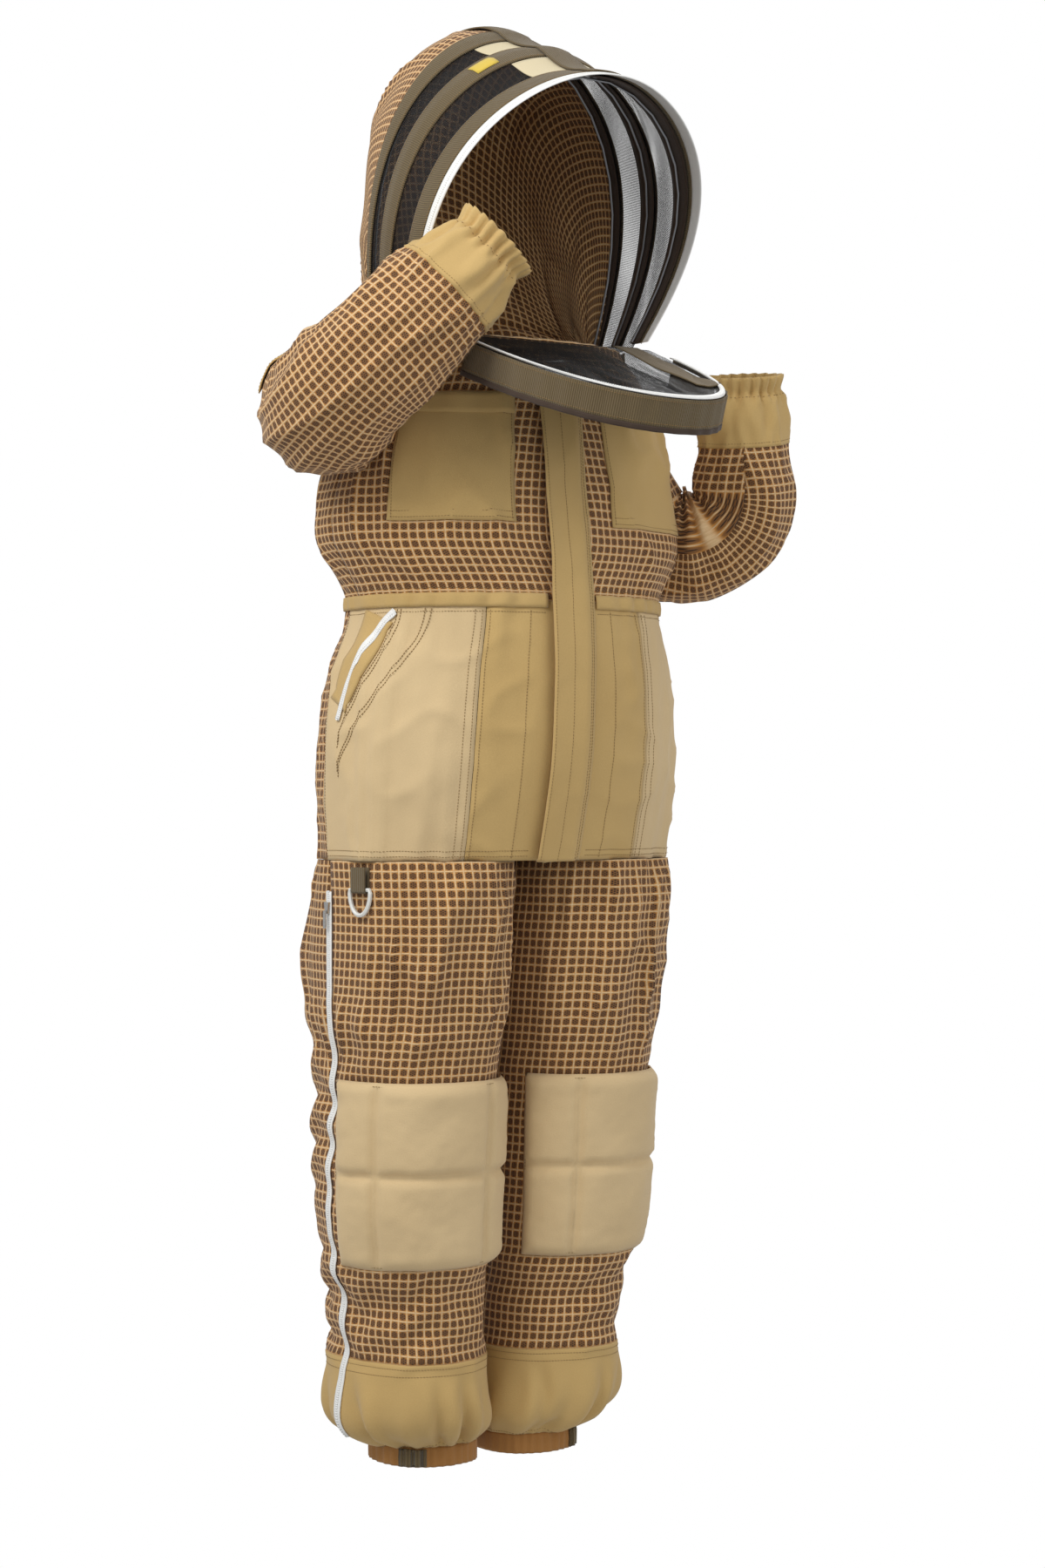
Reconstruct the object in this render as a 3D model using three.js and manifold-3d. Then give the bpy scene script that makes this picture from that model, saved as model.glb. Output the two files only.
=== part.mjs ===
// A ventilated beekeeping suit: three-layer mesh with canvas panels, padded knees and a hooped veil hood.
// The suit is hollow and holds the stance of a wearer who drinks with the hood open: the right arm is raised.
// Millimetres, +Z up, front towards -Y, the wearer's right towards -X. The hems stand at z = 0.
import * as THREE from 'three';
import Module from 'manifold-3d';
import { mergeVertices } from 'three/addons/utils/BufferGeometryUtils.js';

const wasm = await Module();
wasm.setup();

// ---- driving dimensions --------------------------------------------------------------------------
const CLOTH = 2.2;              // wall of the three-layer mesh and of the canvas
const GAP = 0.5;                // clearance between sewn layers
const STRIP_LIFT = 0.9;         // clearance of a strip that crosses the panels' own facets
const CROTCH_Z = 690;           // where the legs meet the hip panels
const WAIST_Z = 977;            // middle of the waistband
const WAISTBAND = 16;           // height of the waistband
const NECK_Z = 1262;            // top edge of the yokes
const YOKE_SHOULDER_Z = NECK_Z - 22;   // the shoulders turn in here, and the main zip ends
const COLLAR = 20;              // height of the standing collar
const FLAP_WIDTH = 60;          // storm flap over the main zip
const KNEE_LOW = 235;
const KNEE_HIGH = 445;          // knee pads, lowest and highest line
const PAD_THICK = 9;
const ZIP_THICK = 1.4;          // coil zips with their tapes
const HEM_HIGH = 125;           // top of the canvas leg hems
const ELASTIC_TOP = 24;         // top of the ankle elastics
const OUTSEAM_ZIP = 10;         // width of the leg zips
const SLEEVE_RADIUS = 70;       // right sleeve at the elbow
const LEFT_SLEEVE_RADIUS = 62;
const WRIST_RADIUS = 42;
const CUFF_LENGTH = 78;
const HOOP_WIRE = 3;            // spring wire in the hood's bindings
const BINDING = 24;             // width of the hood's bindings
const HOOD_WIDTH = 306;         // hood at its base
const HOOD_LEAN = 16;           // the crest leans this far to the wearer's right
const VEIL_LENGTH = 326;        // front arch, from its corners to its top
const VEIL_HALF = 134;          // half width of the opened veil
const VEIL_DROOP = 20;          // degrees that the opened veil slopes down
const VEIL_BAND = 38;           // binding that hangs below the opened veil's zip
const VEIL_THICK = 1.6;
const RING_BAR = 5;             // D-ring
const LOOP_WIDTH = 25;          // webbing loop
const DEG = Math.PI / 180;

// ---- colours -------------------------------------------------------------------------------------
const COLOURS = {
  mesh: 0x9a6a35, khaki: 0xbaa069, tan: 0xd0b68c, binding: 0x8c7855, zip: 0xf2f2ee, veil: 0x1a1a1c,
  elastic: 0xb27a3c, plastic: 0xe8e8e4, metal: 0xb8bcc0, wire: 0x8a8f94,
};

const suit = new THREE.Group();

// ---- helpers -------------------------------------------------------------------------------------
// Adds one named piece to the suit.
function add(name, geometry, colour, { roughness = 0.9, metalness = 0 } = {}) {
  const material = new THREE.MeshStandardMaterial({ color: COLOURS[colour], roughness, metalness });
  const piece = new THREE.Mesh(geometry, material);
  piece.name = name;
  suit.add(piece);
  return piece;
}

// Straight-line lookup in a table of [key, value, value, ...] rows.
function lookup(table, key) {
  const last = table.length - 1;
  const k = Math.min(Math.max(key, table[0][0]), table[last][0]);
  let row = 0;
  while (row < last - 1 && table[row + 1][0] < k) row += 1;
  const [low, high] = [table[row], table[row + 1]];
  const share = (k - low[0]) / (high[0] - low[0]);
  return low.slice(1).map((value, i) => value + (high[i + 1] - value) * share);
}

const signedPower = (value, power) => Math.sign(value) * Math.abs(value) ** power;

// Unit normal of a surface at(u, v), by differences that stay inside the surface's own run.
function normalAt(at, u, v) {
  const step = 0.05;
  const alongU = at(u + step, v).sub(at(u - step, v));
  const alongV = at(u, v + step).sub(at(u, v - step));
  return alongU.cross(alongV).normalize();
}

// Rows of evenly spaced values from low to high.
function spread(low, high, steps) {
  return Array.from({ length: steps + 1 }, (_, i) => low + ((high - low) * i) / steps);
}

const within = (list, low, high) => list.filter((value) => value >= low - 1e-6 && value <= high + 1e-6);

// Signed volume of an indexed geometry.
function volumeOf(positions, index) {
  let sum = 0;
  const corner = (i) => new THREE.Vector3().fromArray(positions, index[i] * 3);
  for (let i = 0; i < index.length; i += 3) {
    sum += corner(i).dot(corner(i + 1).cross(corner(i + 2)));
  }
  return sum / 6;
}

// A geometry from flat positions and an index, turned so that its faces point out.
function closed(positions, index) {
  const faces = volumeOf(positions, index) < 0 ? index.slice().reverse() : index;
  const geometry = new THREE.BufferGeometry();
  geometry.setAttribute('position', new THREE.Float32BufferAttribute(positions, 3));
  geometry.setIndex(faces);
  return geometry;
}

// Cloth between two offsets of a surface at(u, v). Offsets are numbers or functions of (u, v);
// ring closes u on itself.
function cloth(at, us, vs, inner, outer, ring = false) {
  const offset = (value, u, v) => (typeof value === 'function' ? value(u, v) : value);
  const positions = [];
  for (const side of [inner, outer]) {
    for (const v of vs) {
      for (const u of us) {
        const point = at(u, v).addScaledVector(normalAt(at, u, v), offset(side, u, v));
        positions.push(point.x, point.y, point.z);
      }
    }
  }
  const [across, rows] = [us.length, vs.length];
  const node = (side, i, j) => side * across * rows + j * across + (i % across);
  const index = [];
  const quad = (a, b, c, d) => index.push(a, b, c, a, c, d);
  const columns = ring ? across : across - 1;
  for (let j = 0; j < rows - 1; j += 1) {
    for (let i = 0; i < columns; i += 1) {
      quad(node(1, i, j), node(1, i + 1, j), node(1, i + 1, j + 1), node(1, i, j + 1));
      quad(node(0, i, j), node(0, i, j + 1), node(0, i + 1, j + 1), node(0, i + 1, j));
    }
  }
  for (let i = 0; i < columns; i += 1) {
    quad(node(0, i, 0), node(0, i + 1, 0), node(1, i + 1, 0), node(1, i, 0));
    quad(node(0, i + 1, rows - 1), node(0, i, rows - 1), node(1, i, rows - 1), node(1, i + 1, rows - 1));
  }
  if (!ring) {
    for (let j = 0; j < rows - 1; j += 1) {
      quad(node(0, 0, j + 1), node(0, 0, j), node(1, 0, j), node(1, 0, j + 1));
      const end = across - 1;
      quad(node(0, end, j), node(0, end, j + 1), node(1, end, j + 1), node(1, end, j));
    }
  }
  return closed(positions, index);
}

// A flat strip that follows a route of [u, v] pairs on a surface; the width lies across the route.
function strip(at, route, width, inner, outer) {
  const centre = route.map(([u, v]) => at(u, v));
  const run = (k, t) => {
    const i = Math.min(Math.max(Math.round(k), 0), route.length - 1);
    const normal = normalAt(at, ...route[i]);
    const [before, after] = [centre[Math.max(i - 1, 0)], centre[Math.min(i + 1, route.length - 1)]];
    const side = after.clone().sub(before).cross(normal).normalize();
    return { point: centre[i].clone().addScaledVector(side, t * width), normal };
  };
  const positions = [];
  for (const lift of [inner, outer]) {
    for (const t of [-0.5, 0, 0.5]) {
      route.forEach((_, i) => {
        const { point, normal } = run(i, t);
        point.addScaledVector(normal, lift);
        positions.push(point.x, point.y, point.z);
      });
    }
  }
  return closed(positions, gridIndex(route.length, 3));
}

// Faces of a closed patch whose two sides are grids of across x rows points, inner side first.
function gridIndex(across, rows) {
  const index = [];
  const node = (side, i, j) => side * across * rows + j * across + i;
  const quad = (a, b, c, d) => index.push(a, b, c, a, c, d);
  for (let j = 0; j < rows - 1; j += 1) {
    for (let i = 0; i < across - 1; i += 1) {
      quad(node(1, i, j), node(1, i + 1, j), node(1, i + 1, j + 1), node(1, i, j + 1));
      quad(node(0, i, j), node(0, i, j + 1), node(0, i + 1, j + 1), node(0, i + 1, j));
    }
  }
  for (let i = 0; i < across - 1; i += 1) {
    quad(node(0, i, 0), node(0, i + 1, 0), node(1, i + 1, 0), node(1, i, 0));
    quad(node(0, i + 1, rows - 1), node(0, i, rows - 1), node(1, i, rows - 1), node(1, i + 1, rows - 1));
  }
  for (let j = 0; j < rows - 1; j += 1) {
    quad(node(0, 0, j + 1), node(0, 0, j), node(1, 0, j), node(1, 0, j + 1));
    const end = across - 1;
    quad(node(0, end, j), node(0, end, j + 1), node(1, end, j + 1), node(1, end, j));
  }
  return index;
}

// A round bar along a list of points.
function bar(points, diameter, sides = 5, loop = false) {
  const curve = new THREE.CatmullRomCurve3(points, loop);
  const section = new THREE.Shape(new THREE.EllipseCurve(0, 0, diameter / 2, diameter / 2).getPoints(sides));
  const sweep = { extrudePath: curve, steps: points.length + 6, bevelEnabled: false };
  return new THREE.ExtrudeGeometry(section, sweep);
}

// Manifold solids, for the armholes.
function solidOf(geometry) {
  const bare = geometry.clone();
  bare.deleteAttribute('normal');
  bare.deleteAttribute('uv');
  const merged = mergeVertices(bare, 1e-3);
  return new wasm.Manifold(new wasm.Mesh({
    numProp: 3,
    vertProperties: new Float32Array(merged.attributes.position.array),
    triVerts: new Uint32Array(merged.index.array),
  }));
}

function geometryOf(solid) {
  const mesh = solid.getMesh();
  const geometry = new THREE.BufferGeometry();
  const positions = [];
  for (let i = 0; i < mesh.vertProperties.length; i += mesh.numProp) {
    positions.push(...mesh.vertProperties.slice(i, i + 3));
  }
  geometry.setAttribute('position', new THREE.Float32BufferAttribute(positions, 3));
  geometry.setIndex(Array.from(mesh.triVerts));
  return geometry;
}

// The largest body left after tools are cut away from a geometry.
function cut(geometry, ...tools) {
  let solid = solidOf(geometry);
  for (const tool of tools) solid = solid.subtract(tool);
  const bodies = solid.decompose().sort((a, b) => b.volume() - a.volume());
  return geometryOf(bodies[0]);
}

// A closed solid inside rings of points: used only as a cutter.
function loftSolid(rings) {
  const positions = [];
  const count = rings[0].length;
  rings.flat().forEach((point) => positions.push(point.x, point.y, point.z));
  const centreOf = (ring) => ring.reduce((sum, p) => sum.add(p), new THREE.Vector3()).divideScalar(count);
  const ends = [centreOf(rings[0]), centreOf(rings[rings.length - 1])];
  ends.forEach((point) => positions.push(point.x, point.y, point.z));
  const [first, last] = [rings.length * count, rings.length * count + 1];
  const index = [];
  for (let j = 0; j < rings.length - 1; j += 1) {
    for (let i = 0; i < count; i += 1) {
      const [a, b] = [j * count + i, j * count + ((i + 1) % count)];
      index.push(a, b, b + count, a, b + count, a + count);
    }
  }
  const top = (rings.length - 1) * count;
  for (let i = 0; i < count; i += 1) {
    index.push(first, (i + 1) % count, i, last, top + i, top + ((i + 1) % count));
  }
  return solidOf(closed(positions, index));
}

// ---- torso ---------------------------------------------------------------------------------------
const TORSO_POWER = 0.9;        // below 1 the outline is fuller than an ellipse
const CHEST_Z = NECK_Z - 132;   // middle of the chest
// Rows: height, half width, depth in front, depth behind.
const TORSO = [
  [CROTCH_Z, 210, 115, 171], [745, 213, 131, 168], [800, 215, 143, 163], [900, 206, 150, 146],
  [WAIST_Z, 188, 147, 114], [CHEST_Z - 80, 222, 138, 140], [CHEST_Z, 212, 128.5, 145],
  [CHEST_Z + 70, 190, 120, 130],
  [YOKE_SHOULDER_Z, 170, 115, 112],
  [NECK_Z, 154, 104, 100],
];
const ZIP_EDGE = 4;             // the panels stop this many degrees from the centre line
const BAND_EDGE = 8;            // and the waistband this many
const SIDE_SEAM = 90;
const HIP_SEAM = 30;
const HIP_BACK_SEAM = 100;
const POCKET_INNER = 15;        // chest pockets, in degrees round the chest
const POCKET_OUTER = 60;
const torsoAngles = [
  0, ZIP_EDGE, BAND_EDGE, POCKET_INNER, HIP_SEAM, 45, POCKET_OUTER, 75, SIDE_SEAM, HIP_BACK_SEAM,
  120, 140, 160, 180,
];
const fullTurn = [...torsoAngles.slice(1, -1).map((a) => -a).reverse(), ...torsoAngles];
const twoTurns = [...fullTurn, ...fullTurn.map((a) => a + 360)].sort((a, b) => a - b);
const POCKET_LOW = CHEST_Z - 67;
const POCKET_HIGH = CHEST_Z + 78;
const torsoHeights = [
  CROTCH_Z, 745, 800, 850, 900, WAIST_Z - WAISTBAND / 2, WAIST_Z - GAP / 2, WAIST_Z + GAP / 2,
  WAIST_Z + WAISTBAND / 2, CHEST_Z - 80, POCKET_LOW, CHEST_Z, POCKET_HIGH, YOKE_SHOULDER_Z, NECK_Z,
];

function torsoAt(angle, z) {
  const [width, front, back] = lookup(TORSO, z);
  const [s, c] = [Math.sin(angle * DEG), Math.cos(angle * DEG)];
  const depth = c > 0 ? front : back;
  return new THREE.Vector3(width * signedPower(s, TORSO_POWER), -depth * signedPower(c, TORSO_POWER), z);
}

const SEAM_INSET = 0.12;       // degrees kept free along a seam

function torsoPanel(low, high, bottom, top, inner = -CLOTH, outer = 0) {
  const chosen = within([...new Set(twoTurns)], low, high);
  chosen[0] += SEAM_INSET;
  chosen[chosen.length - 1] -= SEAM_INSET;
  return cloth(torsoAt, chosen, within(torsoHeights, bottom, top), inner, outer);
}

// ---- sleeves -------------------------------------------------------------------------------------
// A sleeve's centre line leaves the shoulder, turns round the inner elbow and ends at the wrist,
// all in one plane.
function sleeveLine(shoulder, elbow, wrist, turn) {
  const [toShoulder, toWrist] = [shoulder.clone().sub(elbow), wrist.clone().sub(elbow)];
  const x = toShoulder.clone().normalize();
  const y = toWrist.clone().addScaledVector(x, -toWrist.dot(x)).normalize();
  const wristAngle = Math.atan2(toWrist.dot(y), toWrist.dot(x));
  const startAngle = -Math.acos(turn / toShoulder.length());
  const endAngle = wristAngle + Math.acos(turn / toWrist.length()) - 2 * Math.PI;
  const radial = (angle) => x.clone().multiplyScalar(Math.cos(angle)).addScaledVector(y, Math.sin(angle));
  const onArc = (angle) => elbow.clone().addScaledVector(radial(angle), turn);
  const [arcStart, arcEnd] = [onArc(startAngle), onArc(endAngle)];
  const binormal = x.clone().cross(y).negate();
  const lengths = [shoulder.distanceTo(arcStart), turn * (startAngle - endAngle), arcEnd.distanceTo(wrist)];
  const total = lengths[0] + lengths[1] + lengths[2];
  // distance s along the line gives the centre and the outward direction in the plane
  const frame = (s) => {
    if (s < lengths[0]) {
      return { centre: shoulder.clone().lerp(arcStart, s / lengths[0]), out: radial(startAngle) };
    }
    if (s < lengths[0] + lengths[1]) {
      const angle = startAngle - (s - lengths[0]) / turn;
      return { centre: onArc(angle), out: radial(angle) };
    }
    const share = (s - lengths[0] - lengths[1]) / lengths[2];
    return { centre: arcEnd.clone().lerp(wrist, share), out: radial(endAngle) };
  };
  return { frame, lengths, total, binormal };
}

function sleeveSurface(line, radii) {
  return (angle, s) => {
    const { centre, out } = line.frame(s);
    const [radius] = lookup(radii, s);
    return centre.clone()
      .addScaledVector(out, radius * Math.cos(angle * DEG))
      .addScaledVector(line.binormal, radius * Math.sin(angle * DEG));
  };
}

const ELBOW_ROOM = 7;           // between the crook of the elbow and the point it turns about
// The raised right sleeve keeps beside and above the opened veil, and in front of the hood.
const SLEEVES = {
  right: {
    shoulder: new THREE.Vector3(-152, 24, NECK_Z - 16),
    elbow: new THREE.Vector3(-VEIL_HALF - SLEEVE_RADIUS, -62, NECK_Z - 96 + SLEEVE_RADIUS),
    wrist: new THREE.Vector3(-56 - SLEEVE_RADIUS, -122 - SLEEVE_RADIUS, NECK_Z + 28 + SLEEVE_RADIUS),
    radius: SLEEVE_RADIUS,
    turn: SLEEVE_RADIUS + ELBOW_ROOM,
  },
  left: {
    shoulder: new THREE.Vector3(128, 20, NECK_Z - 57),
    elbow: new THREE.Vector3(234, -38, NECK_Z - 140),
    wrist: new THREE.Vector3(272, -96, NECK_Z - 10),
    radius: LEFT_SLEEVE_RADIUS,
    turn: LEFT_SLEEVE_RADIUS + ELBOW_ROOM,
  },
};
const sleeveAngles = spread(-180, 150, 11);
const torsoRings = (grow) => within(torsoHeights, CROTCH_Z, NECK_Z).map((z) => fullTurn.slice(0, -1)
  .map((angle) => torsoAt(angle, z)
    .addScaledVector(normalAt(torsoAt, angle, Math.min(z, NECK_Z - 1)), grow)));
const torsoSolid = loftSolid(torsoRings(GAP));
const HOOD_ROOM = HOOD_WIDTH / 2 + 27;   // half width kept free above the yokes for the hood
const hoodRoom = solidOf(new THREE.BoxGeometry(2 * HOOD_ROOM, 600, 400).translate(0, 0, NECK_Z + 1.5 + 200));

const SEAM_LAP = 0.4;           // degrees kept free along the sleeves' seams
const sleeveBores = [];
for (const [side, sleeve] of Object.entries(SLEEVES)) {
  const line = sleeveLine(sleeve.shoulder, sleeve.elbow, sleeve.wrist, sleeve.turn);
  const cuffStart = line.total - CUFF_LENGTH;
  const elbowEnd = line.lengths[0] + line.lengths[1];
  const radii = [
    [0, sleeve.radius - 2], [line.lengths[0] + 1, sleeve.radius], [elbowEnd, sleeve.radius - 2],
    [cuffStart, sleeve.radius * 0.84], [line.total - 18, WRIST_RADIUS + 4], [line.total, WRIST_RADIUS],
  ];
  const at = sleeveSurface(line, radii);
  const stations = [
    ...spread(0, line.lengths[0], 2).slice(0, -1), ...spread(line.lengths[0], elbowEnd, 7).slice(0, -1),
    ...spread(elbowEnd, cuffStart - GAP, 2),
  ];
  const half = (low, high) => cloth(at, spread(low, high, 6), stations, -CLOTH, 0);
  add(`sleeve_${side}_outer`, cut(half(-90, 90 - SEAM_LAP), torsoSolid, hoodRoom), 'mesh');
  add(`sleeve_${side}_inner`, cut(half(90, 270 - SEAM_LAP), torsoSolid, hoodRoom), 'mesh');
  const cuffRows = [cuffStart, ...spread(cuffStart + 20, line.total - 18, 2), line.total];
  add(`cuff_${side}`, cloth(at, sleeveAngles, cuffRows, -CLOTH, 0, true), 'khaki');
  const bore = stations.map((s) => sleeveAngles.map((angle) => at(angle, s)
    .addScaledVector(normalAt(at, angle, s), -CLOTH)));
  sleeveBores.push(loftSolid(bore));
  sleeve.at = at;
  sleeve.line = line;
}

// ---- torso panels --------------------------------------------------------------------------------
const yokeBottom = WAIST_Z + GAP / 2;
const panelTop = WAIST_Z - GAP / 2;
for (const [side, sign] of [['right', -1], ['left', 1]]) {
  const range = (low, high) => (sign > 0 ? [low, high] : [-high, -low]);
  const yoke = torsoPanel(...range(ZIP_EDGE, SIDE_SEAM), yokeBottom, NECK_Z);
  add(`front_yoke_${side}`, cut(yoke, ...sleeveBores), 'mesh');
  add(`belly_panel_${side}`, torsoPanel(...range(ZIP_EDGE, HIP_SEAM), CROTCH_Z, panelTop), 'khaki');
}

add('back_yoke', cut(torsoPanel(SIDE_SEAM, 360 - SIDE_SEAM, yokeBottom, NECK_Z), ...sleeveBores), 'mesh');
add('seat_panel', torsoPanel(HIP_BACK_SEAM, 360 - HIP_BACK_SEAM, CROTCH_Z, panelTop), 'mesh');
for (const [side, low, high] of [['right', -HIP_BACK_SEAM, -HIP_SEAM], ['left', HIP_SEAM, HIP_BACK_SEAM]]) {
  add(`hip_panel_${side}`, torsoPanel(low, high, CROTCH_Z, panelTop), 'tan');
}

// What lies on the panels: waistband, pockets, main zip and its storm flap.
const LAYER = 1.6;              // canvas laid on the panels
const bandRows = within(torsoHeights, WAIST_Z - WAISTBAND / 2, WAIST_Z + WAISTBAND / 2);
const bandAngles = within(twoTurns, BAND_EDGE, 360 - BAND_EDGE)
  .filter((a, i, all) => i === 0 || a - all[i - 1] > 1e-6);
add('waistband', cloth(torsoAt, bandAngles, bandRows, GAP, GAP + LAYER), 'khaki');

const chestPockets = [['right', -POCKET_OUTER, -POCKET_INNER], ['left', POCKET_INNER, POCKET_OUTER]];
for (const [side, low, high] of chestPockets) {
  const rows = within(torsoHeights, POCKET_LOW, POCKET_HIGH);
  add(`chest_pocket_${side}`, cloth(torsoAt, within(fullTurn, low, high), rows, GAP, GAP + LAYER), 'khaki');
}

const FLAP_LOW = CROTCH_Z;          // the storm flap's and the main zip's lowest line
const ZIP_TOP = YOKE_SHOULDER_Z;
const SLIDER_ROOM = 4.6;        // height of the tunnel that the storm flap leaves over the zip
const zipRows = within(torsoHeights, FLAP_LOW, ZIP_TOP);
const MAIN_ZIP_THICK = 1.2;
const mainZip = cloth(torsoAt, [-ZIP_EDGE, 0, ZIP_EDGE], zipRows, GAP, GAP + MAIN_ZIP_THICK);
add('main_zip', mainZip, 'zip', { roughness: 0.5 });
const FLAP_SHARE = 10;          // the flap's half width, in parts
const flapAt = (share, z) => {
  const halfWidth = lookup(TORSO, z)[0];
  const angle = Math.asin(Math.min(1, (FLAP_WIDTH / 2) / halfWidth) ** (1 / TORSO_POWER)) / DEG;
  return torsoAt((angle * share) / FLAP_SHARE, z);
};
const tunnel = SLIDER_ROOM + GAP + MAIN_ZIP_THICK;
const flapOffset = (extra) => (share) => (share >= FLAP_SHARE ? GAP : tunnel) + extra;
const flapShares = [-FLAP_SHARE, -4, 4, 6, FLAP_SHARE];
add('storm_flap', cloth(flapAt, flapShares, zipRows, flapOffset(0), flapOffset(LAYER)), 'khaki');

// Main zip slider: body with a pull tab, near the top of the zip, in the tunnel.
const SLIDER_Z = ZIP_TOP - 22;
const zipRun = lookup(TORSO, WAIST_Z)[1] - lookup(TORSO, ZIP_TOP)[1];
const sliderSlope = Math.atan2(zipRun, ZIP_TOP - WAIST_Z);
function slider(name, place, turnX, turnZ, size) {
  const body = new THREE.Shape();
  const [half, tall] = [size / 2, size * 1.3];
  body.moveTo(-half * 0.6, 0);
  body.lineTo(half * 0.6, 0);
  body.lineTo(half, tall);
  body.lineTo(half * 0.4, tall);
  body.lineTo(0, tall * 0.8);
  body.lineTo(-half * 0.4, tall);
  body.lineTo(-half, tall);
  body.closePath();
  const plate = new THREE.ExtrudeGeometry(body, { depth: 2.6, bevelEnabled: false });
  const piece = add(name, plate, 'metal', { roughness: 0.3, metalness: 0.9 });
  piece.position.copy(place);
  piece.rotation.set(turnX, 0, turnZ, 'ZXY');
  return piece;
}
const SLIDER_OVER = 0.4;        // between the main zip's slider and its coil
const sliderY = torsoAt(0, SLIDER_Z).y - GAP - MAIN_ZIP_THICK - SLIDER_OVER;
slider('main_zip_slider', new THREE.Vector3(0, sliderY, SLIDER_Z), Math.PI / 2 - sliderSlope, 0, 11);

// Slanted hip pocket: a white zip strip on the right hip panel, with its slider.
const POCKET_ZIP = 9;
const pocketRoute = [[-60, 965], [-66, 945], [-73, 915], [-80, 880], [-85, 845], [-88, 815]];
const POCKET_LIFT = 1.6;        // the slanting strip clears the panel's facets by this much
const pocketZip = strip(torsoAt, pocketRoute, POCKET_ZIP, POCKET_LIFT, POCKET_LIFT + ZIP_THICK);
add('hip_pocket_zip', pocketZip, 'zip', { roughness: 0.5 });

// ---- legs ----------------------------------------------------------------------------------------
// Rows: height, centre from the middle, centre in depth, half width, half depth.
const LEG_POWER = 0.88;
const LEG = [
  [0, 66, 62, 55, 62], [ELASTIC_TOP, 66, 62, 55, 62], [ELASTIC_TOP + 0.4, 66, 62, 55, 62],
  [45, 80, 62, 80, 88],
  [75, 88, 60, 86, 97], [HEM_HIGH, 91, 56, 85, 93], [180, 95, 52, 84, 93],
  [KNEE_LOW, 100, 46, 88, 100], [340, 104, 42, 94, 108], [KNEE_HIGH, 104, 40, 97, 116],
  [500, 104, 36, 99, 125], [600, 105, 31, 101, 136], [CROTCH_Z - 0.5, 106, 28, 103, 143],
];
const legHeights = [
  HEM_HIGH + GAP, 180, KNEE_LOW, 340, KNEE_HIGH, 520, 600, 655, CROTCH_Z - 0.5,
];
const legAngles = spread(-180, 150, 11);
const PAD_EDGE = 84;            // the knee pads reach this many degrees round towards the leg zips
const HIP_EASE = 5;             // the hips' outline is taken this much wider there
const HIP_BLEND = 110;          // over this height the leg's section takes the hips' outline
const LEG_SLIDER_Z = 630;
const SLIDER_CLEAR = 0.8;       // between a leg zip's slider and its coil
const legAt = (sign) => (angle, z) => {
  const [x, y, halfWidth, halfDepth] = lookup(LEG, z);
  const [s, c] = [Math.sin(angle * DEG), Math.cos(angle * DEG)];
  const point = new THREE.Vector3(
    sign * x + halfWidth * signedPower(s, LEG_POWER), y - halfDepth * signedPower(c, LEG_POWER), z);
  const [hipWidth, hipFront, hipBack] = lookup(TORSO, CROTCH_Z);
  const outward = Math.min(1, Math.abs(point.x) / (hipWidth + HIP_EASE));
  const across = Math.sqrt(Math.max(0, 1 - outward ** (2 / TORSO_POWER)));
  const reach = across ** TORSO_POWER;
  const share = Math.max(0, 1 - (CROTCH_Z - z) / HIP_BLEND);
  const held = Math.max(-hipFront * reach, Math.min(hipBack * reach, point.y));
  return point.setY(point.y + (held - point.y) * share);
};

for (const [side, sign] of [['right', -1], ['left', 1]]) {
  const at = legAt(sign);
  const half = (low, high) => cloth(at, spread(low, high, 6), legHeights, -CLOTH, 0);
  add(`leg_front_${side}`, half(-90, 89.7), 'mesh');
  add(`leg_back_${side}`, half(90, 269.7), 'mesh');
  const outer = sign * 90;
  const padRun = spread(-90, 89.7, 6).slice(1, 6);
  const padAngles = sign < 0 ? [-PAD_EDGE, ...padRun] : [...padRun, PAD_EDGE];
  const padRows = within(legHeights, KNEE_LOW, KNEE_HIGH);
  add(`knee_pad_${side}`, cloth(at, padAngles, padRows, GAP, GAP + PAD_THICK), 'tan');
  const hemRows = [ELASTIC_TOP + 0.4, 45, 85, HEM_HIGH];
  add(`leg_hem_${side}`, cloth(at, legAngles, hemRows, -CLOTH, 0, true), 'khaki');
  const elasticRows = [0, ELASTIC_TOP / 2, ELASTIC_TOP];
  add(`ankle_elastic_${side}`, cloth(at, legAngles, elasticRows, -CLOTH, 0, true), 'elastic');
  const tabAngles = within(legAngles, sign < 0 ? -60 : 30, sign < 0 ? -30 : 60);
  add(`ankle_tab_${side}`, cloth(at, tabAngles, [2, ELASTIC_TOP / 2, 22], GAP, GAP + 2), 'binding');
  const zipHeights = [...within(hemRows, 45, HEM_HIGH), ...legHeights];
  const route = zipHeights.filter((z) => z < CROTCH_Z - 20).map((z) => [outer, z]);
  const zip = strip(at, route, OUTSEAM_ZIP, STRIP_LIFT, STRIP_LIFT + ZIP_THICK);
  add(`leg_zip_${side}`, zip, 'zip', { roughness: 0.5 });
  const top = at(outer, LEG_SLIDER_Z);
  const piece = slider(`leg_zip_slider_${side}`, new THREE.Vector3(), 0, 0, 10);
  piece.rotation.set(Math.PI / 2, 0, sign * 90 * DEG, 'ZXY');
  piece.position.set(top.x + sign * (STRIP_LIFT + ZIP_THICK + SLIDER_CLEAR), top.y, LEG_SLIDER_Z);
}

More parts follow.
